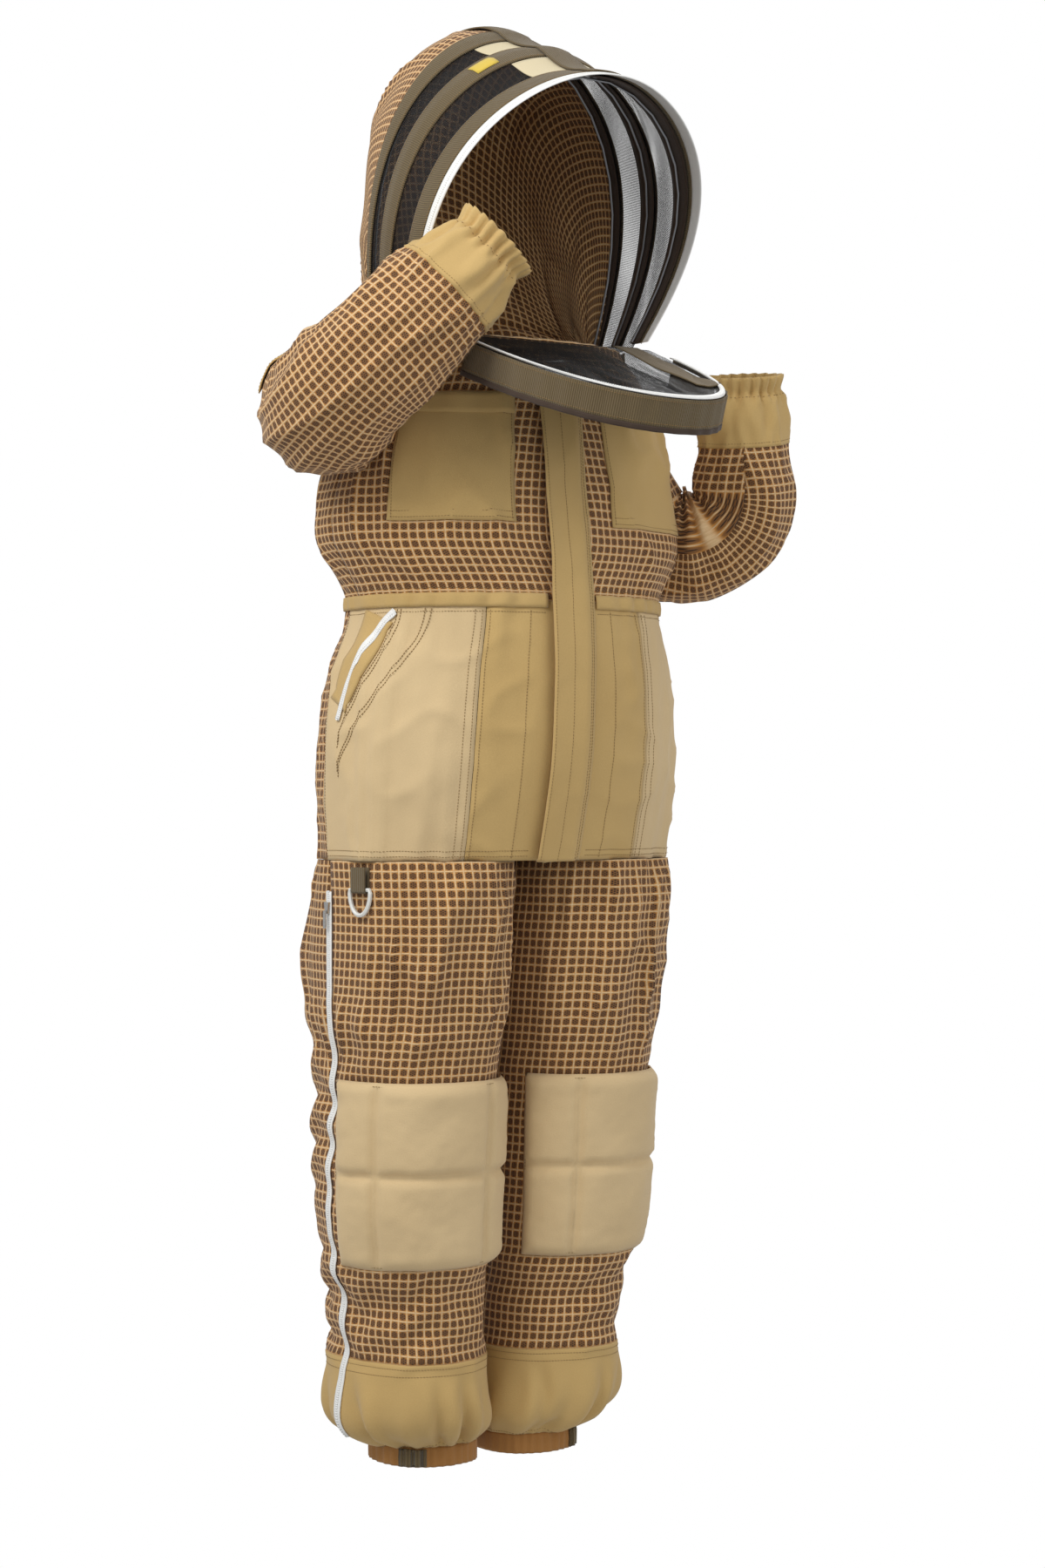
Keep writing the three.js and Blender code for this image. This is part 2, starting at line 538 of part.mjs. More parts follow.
// ---- D-ring on its webbing loop, below the right hip panel ---------------------------------------
const RING_ANGLE = -67.5;
const RING_Z = 672;             // middle of the webbing loop
const ringSeat = legAt(-1)(RING_ANGLE, RING_Z);
const ringNormal = normalAt(legAt(-1), RING_ANGLE, RING_Z).setZ(0).normalize();
const ringTurn = Math.atan2(ringNormal.x, -ringNormal.y);
const LOOP_THICK = 1.8;
const LOOP_EYE = RING_BAR + 2 * GAP;
function inSeat(piece, out, down) {
  piece.position.copy(ringSeat).addScaledVector(ringNormal, out);
  piece.position.z -= down;
  piece.rotation.set(0, 0, ringTurn);
}
// the loop: a band folded round the ring's straight bar, seen from the side
const fold = new THREE.Shape();
const eye = LOOP_EYE / 2;
fold.moveTo(-eye - LOOP_THICK, 26);
fold.lineTo(-eye - LOOP_THICK, 0);
fold.absarc(0, 0, eye + LOOP_THICK, Math.PI, 2 * Math.PI, false);
fold.lineTo(eye + LOOP_THICK, 26);
fold.closePath();
const hole = new THREE.Path();
hole.moveTo(-eye, 20);
hole.lineTo(-eye, 0);
hole.absarc(0, 0, eye, Math.PI, 2 * Math.PI, false);
hole.lineTo(eye, 20);
hole.closePath();
fold.holes.push(hole);
const loopSweep = { depth: LOOP_WIDTH - 3, bevelEnabled: false, curveSegments: 6 };
const loopGeometry = new THREE.ExtrudeGeometry(fold, loopSweep)
  .translate(0, 0, -(LOOP_WIDTH - 3) / 2)
  .applyMatrix4(new THREE.Matrix4().makeBasis(
    new THREE.Vector3(0, -1, 0), new THREE.Vector3(0, 0, 1), new THREE.Vector3(-1, 0, 0)));
const LOOP_OUT = eye + LOOP_THICK - 0.6;
inSeat(add('webbing_loop', loopGeometry, 'binding'), LOOP_OUT, 14);
const ringHalf = LOOP_WIDTH / 2 + RING_BAR / 2;
const straight = spread(-ringHalf, ringHalf, 4).map((x) => new THREE.Vector3(x, 0, 0));
const bow = spread(10, 170, 8).map((a) => new THREE.Vector3(
  ringHalf * Math.cos(a * DEG) * 1.05, 0, -26 * Math.sin(a * DEG) - 2));
const ringCurve = new THREE.CatmullRomCurve3([...straight, ...bow], true, 'centripetal');
const ringSection = new THREE.Shape(new THREE.EllipseCurve(0, 0, RING_BAR / 2, RING_BAR / 2).getPoints(6));
const ringSweep = { extrudePath: ringCurve, steps: 24, bevelEnabled: false };
const ringGeometry = new THREE.ExtrudeGeometry(ringSection, ringSweep);
inSeat(add('d_ring', ringGeometry, 'plastic', { roughness: 0.35 }), LOOP_OUT, 14);

// ---- collar --------------------------------------------------------------------------------------
const collarAt = (angle, z) => {
  const lean = (z - NECK_Z) * 0.35 + 4;
  const base = torsoAt(angle, NECK_Z);
  const out = new THREE.Vector3(base.x, base.y, 0).normalize();
  return base.addScaledVector(out, -lean).setZ(z);
};
const collarRows = spread(NECK_Z - 8, NECK_Z + COLLAR - 8, 2);
add('collar', cloth(collarAt, fullTurn.slice(0, -1), collarRows, -1.8, 0.5, true), 'mesh');

// ---- hood ----------------------------------------------------------------------------------------
// Every hoop plane turns about the shoulders. Rows: plane angle from upright, depth of its feet, height,
// half width, and how much wider it is halfway up.
const BASE_TAPE = 14;
const HOOD_BASE_Z = NECK_Z + BASE_TAPE + 1.2;
const halfHood = HOOD_WIDTH / 2;
const FRONT_HOOP = -31;
const MIDDLE_HOOP = -21;
const REAR_HOOP = -13;
const HOOD = [
  [-37, -80, VEIL_LENGTH - 8, halfHood - 4, 0.3], [FRONT_HOOP, -46, VEIL_LENGTH - 10, halfHood - 3, 0.3],
  [MIDDLE_HOOP, -6, 334, halfHood, 0.3], [REAR_HOOP, 30, 352, halfHood - 1, 0.24],
  [0, 30, 362, halfHood - 6, 0.16], [12, 30, 346, halfHood - 12, 0.1], [22, 30, 292, halfHood - 14, 0.06],
  [42, 30, 168, halfHood - 13, 0.02], [65, 30, 106, halfHood - 5, 0], [90, 30, 72, halfHood - 1, 0],
];
const HOOD_POWER = 0.85;
const CREST_RISE = 364;         // height over which the crest takes its full lean
function hoodAt(across, plane) {
  const [footY, height, halfWidth, bulge] = lookup(HOOD, plane);
  const share = Math.abs(across) / 90;
  const swell = 1 + bulge * Math.sin(Math.PI * share);
  const rise = height * Math.cos(across * DEG);
  const up = rise * Math.cos(plane * DEG);
  return new THREE.Vector3(
    halfWidth * signedPower(Math.sin(across * DEG), HOOD_POWER) * swell - HOOD_LEAN * (up / CREST_RISE),
    footY + rise * Math.sin(plane * DEG),
    HOOD_BASE_Z + up,
  );
}
const CREST_HALF = 5;           // half width of the crest flap, in degrees across the hood
const sideAcross = [CREST_HALF, 18, 32, 46, 60, 75, 89.9];
const hoodAcross = [...sideAcross.map((a) => -a).reverse(), 0, ...sideAcross];
const HALF_BINDING = (BINDING / 2 / VEIL_LENGTH) / DEG;
const veil = (planes, wall = VEIL_THICK / 2) => cloth(hoodAt, hoodAcross, planes, -wall, 0);
const [frontBack, middleFront] = [FRONT_HOOP + HALF_BINDING, MIDDLE_HOOP - HALF_BINDING];
add('veil_front', veil([FRONT_HOOP, frontBack, middleFront, MIDDLE_HOOP - 0.15]), 'veil');
const [middleBack, rearFront] = [MIDDLE_HOOP + HALF_BINDING, REAR_HOOP - HALF_BINDING];
add('veil_middle', veil([MIDDLE_HOOP, middleBack, rearFront, REAR_HOOP - 0.15]), 'veil');
add('hood_back', veil([REAR_HOOP, REAR_HOOP + HALF_BINDING, 0, 12, 22, 42, 65, 89.5], 1.4), 'mesh');
const baseAngles = [70, 75, 90, 100, 120, 140, 160, 180, 200, 220, 240, 260, 270, 285, 290];
const baseRows = [NECK_Z + GAP, NECK_Z + BASE_TAPE];
add('hood_base_tape', cloth(torsoAt, baseAngles, baseRows, -VEIL_THICK, GAP), 'binding');
const hoops = { front: FRONT_HOOP, middle: MIDDLE_HOOP, rear: REAR_HOOP };
const bandAcross = [-88, ...hoodAcross.slice(1, -1), 88];
const WIRE_CLEAR = 1.6;         // from the hoop wires to the panels above them
const hoopChord = (HOOD_WIDTH / 2) * (1 - Math.cos(7 * DEG));
const REAR_WIRE_CLEAR = 2.16 + hoopChord;   // more at the rear hoop, where two panels meet at a corner
for (const [name, plane] of Object.entries(hoops)) {
  const planes = [plane - HALF_BINDING, plane, plane + HALF_BINDING];
  add(`binding_${name}`, cloth(hoodAt, bandAcross, planes, GAP, GAP + LAYER), 'binding');
  const depth = CLOTH + HOOP_WIRE / 2 + (name === 'rear' ? REAR_WIRE_CLEAR : WIRE_CLEAR);
  const wire = bandAcross.map((across) => hoodAt(across, plane)
    .addScaledVector(normalAt(hoodAt, across, plane), -depth));
  add(`hoop_${name}`, bar(wire, HOOP_WIRE), 'wire', { roughness: 0.4, metalness: 0.8 });
}
const HOOD_ZIP = 11;
const zipBack = FRONT_HOOP - HALF_BINDING - (GAP / VEIL_LENGTH) / DEG;
const zipPlanes = [zipBack - (HOOD_ZIP / VEIL_LENGTH) / DEG, zipBack];
add('hood_zip', cloth(hoodAt, bandAcross, zipPlanes, GAP, GAP + LAYER), 'zip', { roughness: 0.5 });
const crestPlanes = [
  FRONT_HOOP - HALF_BINDING, FRONT_HOOP, frontBack, middleFront, MIDDLE_HOOP,
  middleBack, rearFront, REAR_HOOP, REAR_HOOP + HALF_BINDING, 0,
];
const crestLift = GAP + LAYER + GAP;
const crest = cloth(hoodAt, [-CREST_HALF, 0, CREST_HALF], crestPlanes, crestLift, crestLift + LAYER);
add('crest_flap', crest, 'binding');

// ---- opened front veil ---------------------------------------------------------------------------
const HINGE_Y = -(lookup(TORSO, NECK_Z)[1] + 3.2);
const HINGE_Z = NECK_Z + 8;
const VEIL_REACH = VEIL_LENGTH - 62;    // from the straight hinge edge to the veil's tip
const [droopCos, droopSin] = [Math.cos(VEIL_DROOP * DEG), Math.sin(VEIL_DROOP * DEG)];
// across runs from -90 to 90 along the edge, out from 0 at the hinge to 1 at the edge
function veilAt(across, out) {
  const reach = VEIL_REACH * Math.max(Math.cos(across * DEG), 0) ** 0.8 * out;
  return new THREE.Vector3(
    VEIL_HALF * signedPower(Math.sin(across * DEG), 0.9),
    HINGE_Y - reach * droopCos,
    HINGE_Z - reach * droopSin,
  );
}
const veilAcross = [-80, -68, -56, -44, -32, -20, -9, 0, 9, 20, 32, 44, 56, 68, 80];
add('veil_flap_mesh', cloth(veilAt, veilAcross, [0.02, 0.35, 0.7, 0.95], 0, VEIL_THICK / 2), 'veil');
// the edge, as a curve in the veil's plane; share grows outwards, drop hangs below
function edgeAt(across, drop) {
  const point = veilAt(across, 1);
  point.x *= 1.03;
  return point.add(new THREE.Vector3(0, drop * droopSin, -drop * droopCos));
}
const edgeAcross = [-84, ...veilAcross.slice(1, -1), 84];
const EDGE_ZIP = 12;
const zipEdge = (across, out) => veilAt(across, 1).lerp(veilAt(across, 0), -out);
add('veil_flap_zip', cloth(zipEdge, edgeAcross, [-0.045, 0.005], -1.9, -0.3), 'zip', { roughness: 0.5 });
add('veil_flap_band', cloth(edgeAt, edgeAcross, [0.6, VEIL_BAND / 2, VEIL_BAND], 0, LAYER), 'binding');
const flapWire = edgeAcross.map((across) => {
  const point = veilAt(across, 0.95);
  return point.setX(point.x * 0.955).add(new THREE.Vector3(0, 0, -3.2));
});
add('veil_flap_hoop', bar(flapWire, HOOP_WIRE), 'wire', { roughness: 0.4, metalness: 0.8 });

// ---- sleeve pocket ---------------------------------------------------------------------------------
// It lies over the seam between the sleeve's halves, on the upper arm. A sleeve's own normal points
// inwards, so what lies on its outside takes negative offsets.
{
  const { at, line } = SLEEVES.right;
  const bend = spread(line.lengths[0], line.lengths[0] + line.lengths[1], 7);
  const rows = [line.lengths[0] / 2, ...bend.slice(0, 3)];
  const angles = [...spread(-90, 90 - SEAM_LAP, 6).slice(5), ...spread(90, 270 - SEAM_LAP, 6).slice(0, 3)];
  const [pocketTop, pocketFoot] = [-CLOTH - GAP - LAYER, -CLOTH - GAP];
  add('sleeve_pocket', cloth(at, angles, rows, pocketTop, pocketFoot), 'khaki');
}

export default suit;
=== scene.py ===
"""Looks of the ventilated beekeeping suit: cloth, zips, hoops, pads and their finishes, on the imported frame.

Metres, +Z up, front towards -Y, the wearer's right towards -X.
"""

import logging
import math
from dataclasses import dataclass
from enum import Enum
from typing import Callable, List, Optional, Sequence, Tuple

import bpy
import numpy as np
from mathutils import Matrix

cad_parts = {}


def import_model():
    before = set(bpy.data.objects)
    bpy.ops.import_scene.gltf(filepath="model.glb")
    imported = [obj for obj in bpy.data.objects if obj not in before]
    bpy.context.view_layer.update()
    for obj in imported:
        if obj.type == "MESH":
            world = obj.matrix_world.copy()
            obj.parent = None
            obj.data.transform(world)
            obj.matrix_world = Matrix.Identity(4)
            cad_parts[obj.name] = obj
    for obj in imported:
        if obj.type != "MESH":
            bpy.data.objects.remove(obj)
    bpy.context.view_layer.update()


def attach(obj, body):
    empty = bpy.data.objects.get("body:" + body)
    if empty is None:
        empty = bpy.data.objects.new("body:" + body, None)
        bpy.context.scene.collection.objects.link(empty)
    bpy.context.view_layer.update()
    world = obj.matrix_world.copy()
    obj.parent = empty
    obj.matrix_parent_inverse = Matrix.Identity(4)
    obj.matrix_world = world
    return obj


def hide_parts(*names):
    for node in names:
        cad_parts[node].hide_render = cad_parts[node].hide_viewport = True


LOG = logging.getLogger("suit")
MM = 0.001
RIBBON_CELL = 0.005
STITCH_PITCH = 0.0034
PANEL_THICK = 0.0022
TRIM_THICK = 0.0016
ON_PANEL = 0.0021
FLUSH = 0.0

Array = np.ndarray
Surface = Callable[[Array, Array], Array]
Point = Tuple[float, float, float]
Shade = Tuple[int, int, int]
STITCH: Point = (0.0012, 0.0003, 0.0004)


class Side(Enum):
    """A side of the wearer."""

    RIGHT = -1
    LEFT = 1

    @property
    def label(self) -> str:
        """The side's name in the node names."""
        return self.name.lower()


class Body(str, Enum):
    """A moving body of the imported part."""

    SUIT = "suit"
    HOOD = "hood"
    VEIL = "veil_flap"


class Held(str, Enum):
    """How a sheet of cloth is held."""

    HUNG = "hung"
    GATHERED = "gathered"
    STRETCHED = "stretched"


# ---- surfaces ------------------------------------------------------------------------------


class Noise:
    """Seeded gradient noise on points."""

    def __init__(self, seed: int) -> None:
        """Draws the gradients.

        Args:
            seed: number that fixes the pattern.
        """
        rng = np.random.RandomState(seed)
        self.order = np.concatenate([rng.permutation(256)] * 2)
        slopes = rng.normal(size=(256, 3))
        self.slopes = slopes / np.linalg.norm(slopes, axis=1, keepdims=True)

    def __call__(self, points: Array) -> Array:
        """The noise at points.

        Args:
            points: an array (..., 3).

        Returns:
            values of about -1 to 1, shaped (...).
        """
        cell = np.floor(points).astype(int)
        part = points - cell
        fade = part * part * part * (part * (part * 6 - 15) + 10)
        total = np.zeros(points.shape[:-1])
        for corner in range(8):
            step = np.array([(corner >> k) & 1 for k in range(3)])
            where = (cell + step) & 255
            index = self.order[self.order[self.order[where[..., 0]] + where[..., 1]] + where[..., 2]]
            dot = np.sum(self.slopes[index] * (part - step), axis=-1)
            weight = np.prod(np.where(step == 1, fade, 1 - fade), axis=-1)
            total += weight * dot
        return total * 1.6


NOISE = Noise(7)


def ridge(points: Array, sharp: float = 2.4) -> Array:
    """Creases: one on the noise's zero lines and falling away on both sides.

    Args:
        points: an array (..., 3).
        sharp: how quickly a crease falls away.

    Returns:
        values from 0 to 1.
    """
    return np.clip(1 - np.abs(NOISE(points)) * sharp, 0, 1) ** 2


def join(*parts: Array) -> Array:
    """Coordinates joined into points."""
    return np.stack(parts, -1)


def about(ring: Array, scale: float, third: Array, first: Array = 0.0, second: Array = 0.0) -> Array:
    """Where to read noise that closes round a tube.

    Args:
        ring: cosine and sine of the angle round the tube.
        scale: how fast the noise changes round the tube.
        third: the place along the tube, scaled.
        first: shift of the first coordinate.
        second: shift of the second coordinate.

    Returns:
        an array (..., 3).
    """
    return join(ring[..., 0] * scale + first, ring[..., 1] * scale + second, third)


def signed_power(value: Array, power: float) -> Array:
    """value's magnitude raised to power, with its sign kept."""
    return np.sign(value) * np.abs(value) ** power


def smooth_rows(rows: Sequence[Sequence[float]], key: Array) -> List[Array]:
    """Smooth lookup in a table whose first column is the key.

    Args:
        rows: the table, in rising keys.
        key: where to look.

    Returns:
        one array per further column.
    """
    data = np.array(rows, float)
    keys, values = data[:, 0], data[:, 1:]
    secant = np.diff(values, axis=0) / np.diff(keys)[:, None]
    slope = np.zeros_like(values)
    slope[1:-1] = np.where(secant[1:] * secant[:-1] > 0, (secant[1:] + secant[:-1]) / 2, 0)
    slope[0], slope[-1] = secant[0], secant[-1]
    at = np.clip(key, keys[0], keys[-1])
    i = np.clip(np.searchsorted(keys, at, side="right") - 1, 0, len(keys) - 2)
    run = keys[i + 1] - keys[i]
    t = ((at - keys[i]) / run)[..., None]
    run = run[..., None]
    a, b = values[i], values[i + 1]
    out = (
        a * (2 * t**3 - 3 * t**2 + 1)
        + slope[i] * run * (t**3 - 2 * t**2 + t)
        + b * (3 * t**2 - 2 * t**3)
        + slope[i + 1] * run * (t**3 - t**2)
    )
    return [out[..., k] for k in range(out.shape[-1])]


def upright(u: float, low: float, high: float, count: int) -> List[Tuple[float, float]]:
    """A row of count points at u, from low to high."""
    return [(u, v) for v in np.linspace(low, high, count)]


def level(v: float, low: float, high: float, count: int) -> List[Tuple[float, float]]:
    """A row of count points at v, from low to high."""
    return [(u, v) for u in np.linspace(low, high, count)]


def crowned(height: float, axis: int = 0) -> Surface:
    """A lift that is highest in the middle of a patch.

    Args:
        height: of the middle.
        axis: 0 to fall away in u, 1 in v.

    Returns:
        the lift, from shares of u and v.
    """
    return lambda *share: height * np.sin(math.pi * share[axis])


def bell(value: Array, centre: float, width: float) -> Array:
    """A smooth hump of height 1 at centre."""
    return np.exp(-(((value - centre) / width) ** 2))


def rise(value: Array, low: float, high: float) -> Array:
    """0 below low and 1 above high, smoothly between."""
    t = np.clip((value - low) / (high - low), 0, 1)
    return t * t * (3 - 2 * t)


def normals_of(at: Surface, u: Array, v: Array, du: float, dv: float) -> Array:
    """Unit normals of a surface by differences.

    Args:
        at: the surface.
        u: first coordinates.
        v: second coordinates.
        du: step in u.
        dv: step in v.

    Returns:
        an array (..., 3).
    """
    along = at(u + du, v) - at(u - du, v)
    across = at(u, v + dv) - at(u, v - dv)
    normal = np.cross(along, across)
    return normal / np.maximum(np.linalg.norm(normal, axis=-1, keepdims=True), 1e-12)


@dataclass
class Skin:
    """A surface with its fold relief, on which panels, pockets and tapes are laid.

    Attributes:
        base: the plain surface.
        relief: height of the folds along the normal.
        du: step for normals in u.
        dv: step for normals in v.
        sign: 1 when the surface's own normal points out of the suit, else -1.
    """

    base: Surface
    relief: Callable[[Array, Array], Array]
    du: float
    dv: float
    sign: float = 1.0

    def folded(self, u: Array, v: Array) -> Array:
        """The surface with its folds."""
        normal = normals_of(self.base, u, v, self.du, self.dv)
        return self.base(u, v) + self.sign * normal * self.relief(u, v)[..., None]

    def __call__(self, u: Array, v: Array, lift: Array) -> Array:
        """Points lifted off the folded surface.

        Args:
            u: first coordinates.
            v: second coordinates.
            lift: height above the surface.

        Returns:
            an array (..., 3).
        """
        normal = self.sign * normals_of(self.folded, u, v, self.du, self.dv)
        return self.folded(u, v) + normal * np.asarray(lift)[..., None]


# ---- mesh building ---------------------------------------------------------------------------


def new_object(name: str, points: Array, faces: Array, uvs: Optional[Array] = None) -> bpy.types.Object:
    """A mesh object from arrays.

    Args:
        name: the object's name.
        points: vertices (n, 3).
        faces: quads (m, 4).
        uvs: one UV per face corner (m * 4, 2).

    Returns:
        the linked object.
    """
    mesh = bpy.data.meshes.new(name)
    mesh.from_pydata(points.tolist(), [], faces.tolist())
    if uvs is not None:
        layer = mesh.uv_layers.new(name="Cloth")
        layer.data.foreach_set("uv", uvs.astype(np.float32).ravel())
    mesh.update()
    mesh.polygons.foreach_set("use_smooth", np.ones(len(mesh.polygons), bool))
    obj = bpy.data.objects.new(name, mesh)
    bpy.context.scene.collection.objects.link(obj)
    return obj


def deselect() -> None:
    """Deselects everything."""
    bpy.ops.object.select_all(action="DESELECT")


def only(obj: bpy.types.Object) -> None:
    """Selects obj alone and makes it active."""
    deselect()
    obj.select_set(True)
    bpy.context.view_layer.objects.active = obj


def thicken(obj: bpy.types.Object, thick: float) -> None:
    """Gives a sheet its thickness, laid inwards."""
    solid = obj.modifiers.new("Thickness", "SOLIDIFY")
    solid.thickness = thick
    solid.offset = -1
    only(obj)
    bpy.ops.object.modifier_apply(modifier=solid.name)


def lengths_along(points: Array, axis: int) -> Array:
    """Running lengths of a grid of points along an axis, from zero."""
    step = np.linalg.norm(np.diff(points, axis=axis), axis=-1)
    pad = [(0, 0), (0, 0)]
    pad[axis] = (1, 0)
    return np.cumsum(np.pad(step, pad), axis=axis)


@dataclass
class Cut:
    """The flat cut of a cloth piece.

    Attributes:
        width: across, in metres.
        length: along, in metres.
        area: area of the cut.
    """

    width: float
    length: float
    area: float


def cloth(
    name: str,
    skin: Skin,
    u_range: Tuple[float, float],
    v_range: Tuple[float, float],
    lift: float = 0.0,
    thick: float = 0.002,
    cell: float = 0.006,
    ring: bool = False,
    keep: Optional[Callable[[Array], Array]] = None,
    shape: Optional[Callable[[Array, Array], Array]] = None,
    ease: float = 1.0,
) -> Tuple[bpy.types.Object, Cut]:
    """A cloth patch of a skin, with thickness and with UVs in metres.

    Args:
        name: the object's name.
        skin: the surface that it lies on.
        u_range: run in u.
        v_range: run in v.
        lift: height of its outer side above the skin.
        thick: thickness, laid inwards.
        cell: size of the mesh cells.
        ring: whether u closes on itself.
        keep: tells which points stay, from the points.
        shape: further lift over the patch, from shares of u and v.
        ease: how much larger the flat cut is than the plain surface.

    Returns:
        the object and its flat cut.
    """
    probe_u, probe_v = np.meshgrid(np.linspace(*u_range, 25), np.linspace(*v_range, 25))
    plain = skin.base(probe_u, probe_v)
    wide, tall = lengths_along(plain, 1)[:, -1], lengths_along(plain, 0)[-1, :]
    nu, nv = max(int(wide.max() / cell), 3), max(int(tall.max() / cell), 3)
    u, v = np.meshgrid(np.linspace(*u_range, nu + 1), np.linspace(*v_range, nv + 1))
    share_u, share_v = np.meshgrid(np.linspace(0, 1, nu + 1), np.linspace(0, 1, nv + 1))
    heights = np.full(u.shape, lift) + (shape(share_u, share_v) if shape else 0)
    points = skin(u, v, heights)
    base = skin.base(u, v)
    run_u, run_v = lengths_along(base, 1), lengths_along(base, 0)
    middle = nu // 2
    uv = join(run_u - run_u[:, middle : middle + 1], np.repeat(run_v[:, middle : middle + 1], nu + 1, 1))
    columns = nu if ring else nu + 1
    number = np.arange((nv + 1) * columns).reshape(nv + 1, columns)
    i, j = np.meshgrid(np.arange(nu), np.arange(nv))
    i, j = i.ravel(), j.ravel()
    nxt = (i + 1) % columns
    faces = join(number[j, i], number[j, nxt], number[j + 1, nxt], number[j + 1, i])
    corner_uv = np.stack([uv[j, i], uv[j, i + 1], uv[j + 1, i + 1], uv[j + 1, i]], 1)
    if skin.sign < 0:
        faces, corner_uv = faces[:, ::-1], corner_uv[:, ::-1]
    flat_points = points[:, :columns].reshape(-1, 3)
    if keep is not None:
        stays = keep(flat_points)
        held = stays[faces].all(axis=1)
        faces, corner_uv = faces[held], corner_uv[held]
        used = np.unique(faces)
        renumber = np.zeros(len(flat_points), int)
        renumber[used] = np.arange(len(used))
        flat_points, faces = flat_points[used], renumber[faces]
    quads = flat_points[faces]
    crosses = np.cross(quads[:, 2] - quads[:, 0], quads[:, 3] - quads[:, 1])
    base_area = float(np.linalg.norm(crosses, axis=1).sum() / 2)
    obj = new_object(name, flat_points, faces, corner_uv.reshape(-1, 2))
    thicken(obj, thick)
    width, length = float(wide.max()) * ease, float(tall.max()) * ease
    return obj, Cut(width, length, min(base_area, width * length * 0.999))


def ribbon(
    name: str,
    skin: Skin,
    route: Sequence[Tuple[float, float]],
    width: float,
    lift: float,
    thick: float,
    columns: int = 4,
) -> Tuple[bpy.types.Object, Cut]:
    """A tape that follows a route on a skin.

    Args:
        name: the object's name.
        skin: the surface that it lies on.
        route: points (u, v), joined smoothly.
        width: of the tape.
        lift: height of its outer side.
        thick: thickness, laid inwards.
        columns: cells across.

    Returns:
        the object and its flat cut.
    """
    u, v, side_u, side_v, total = route_on(skin, route, RIBBON_CELL)
    across = np.linspace(-width / 2, width / 2, columns + 1)
    uu = u[:, None] + side_u[:, None] * across
    vv = v[:, None] + side_v[:, None] * across
    points = skin(uu, vv, np.full(uu.shape, lift))
    n, m = uu.shape
    number = np.arange(n * m).reshape(n, m)
    j, i = np.meshgrid(np.arange(n - 1), np.arange(m - 1), indexing="ij")
    j, i = j.ravel(), i.ravel()
    faces = join(number[j, i], number[j, i + 1], number[j + 1, i + 1], number[j + 1, i])
    along = np.linspace(0, total, n)
    uv = np.stack(np.broadcast_arrays(across[None, :], along[:, None]), -1)
    corner_uv = np.stack([uv[j, i], uv[j, i + 1], uv[j + 1, i + 1], uv[j + 1, i]], 1)
    flat = points.reshape(-1, 3)
    middle = len(faces) // 2
    quad = flat[faces[middle]]
    facing = np.cross(quad[2] - quad[0], quad[3] - quad[1])
    outward = skin(uu, vv, np.full(uu.shape, lift + 0.001)).reshape(-1, 3)[faces[middle][0]] - quad[0]
    if facing @ outward < 0:
        faces, corner_uv = faces[:, ::-1], corner_uv[:, ::-1]
    obj = new_object(name, flat, faces, corner_uv.reshape(-1, 2))
    thicken(obj, thick)
    return obj, Cut(width, total, width * total)


def route_on(
    skin: Skin, route: Sequence[Tuple[float, float]], step: float
) -> Tuple[Array, Array, Array, Array, float]:
    """Resamples a route on a skin.

    Args:
        skin: the surface.
        route: points (u, v), joined smoothly.
        step: spacing wanted, in metres.

    Returns:
        u, v, the steps in u and v for one metre sideways, and the route's length.
    """
    knots = np.array(route, float)
    t = np.linspace(0, len(knots) - 1, 40 * (len(knots) - 1) + 1)
    rows = np.column_stack([np.arange(len(knots)), knots])
    u, v = smooth_rows(rows, t)
    points = skin.base(u, v)
    run = np.concatenate([[0], np.cumsum(np.linalg.norm(np.diff(points, axis=0), axis=1))])
    count = max(int(run[-1] / step), 2)
    even = np.linspace(0, run[-1], count + 1)
    u, v = np.interp(even, run, u), np.interp(even, run, v)
    pu = (skin.base(u + skin.du, v) - skin.base(u - skin.du, v)) / (2 * skin.du)
    pv = (skin.base(u, v + skin.dv) - skin.base(u, v - skin.dv)) / (2 * skin.dv)
    points = skin.base(u, v)
    along = np.gradient(points, axis=0)
    side = np.cross(along, np.cross(pu, pv))
    side /= np.linalg.norm(side, axis=1, keepdims=True)
    a, b, c = np.sum(pu * pu, 1), np.sum(pu * pv, 1), np.sum(pv * pv, 1)
    ru, rv = np.sum(pu * side, 1), np.sum(pv * side, 1)
    det = a * c - b * b
    return u, v, (c * ru - b * rv) / det, (a * rv - b * ru) / det, float(run[-1])


BLOCK = np.array([[x, y, z] for z in (0, 1) for y in (-1, 1) for x in (-1, 1)], float)
BLOCK_FACES = np.array([[0, 2, 3, 1], [4, 5, 7, 6], [0, 1, 5, 4], [2, 6, 7, 3], [0, 4, 6, 2], [1, 3, 7, 5]])


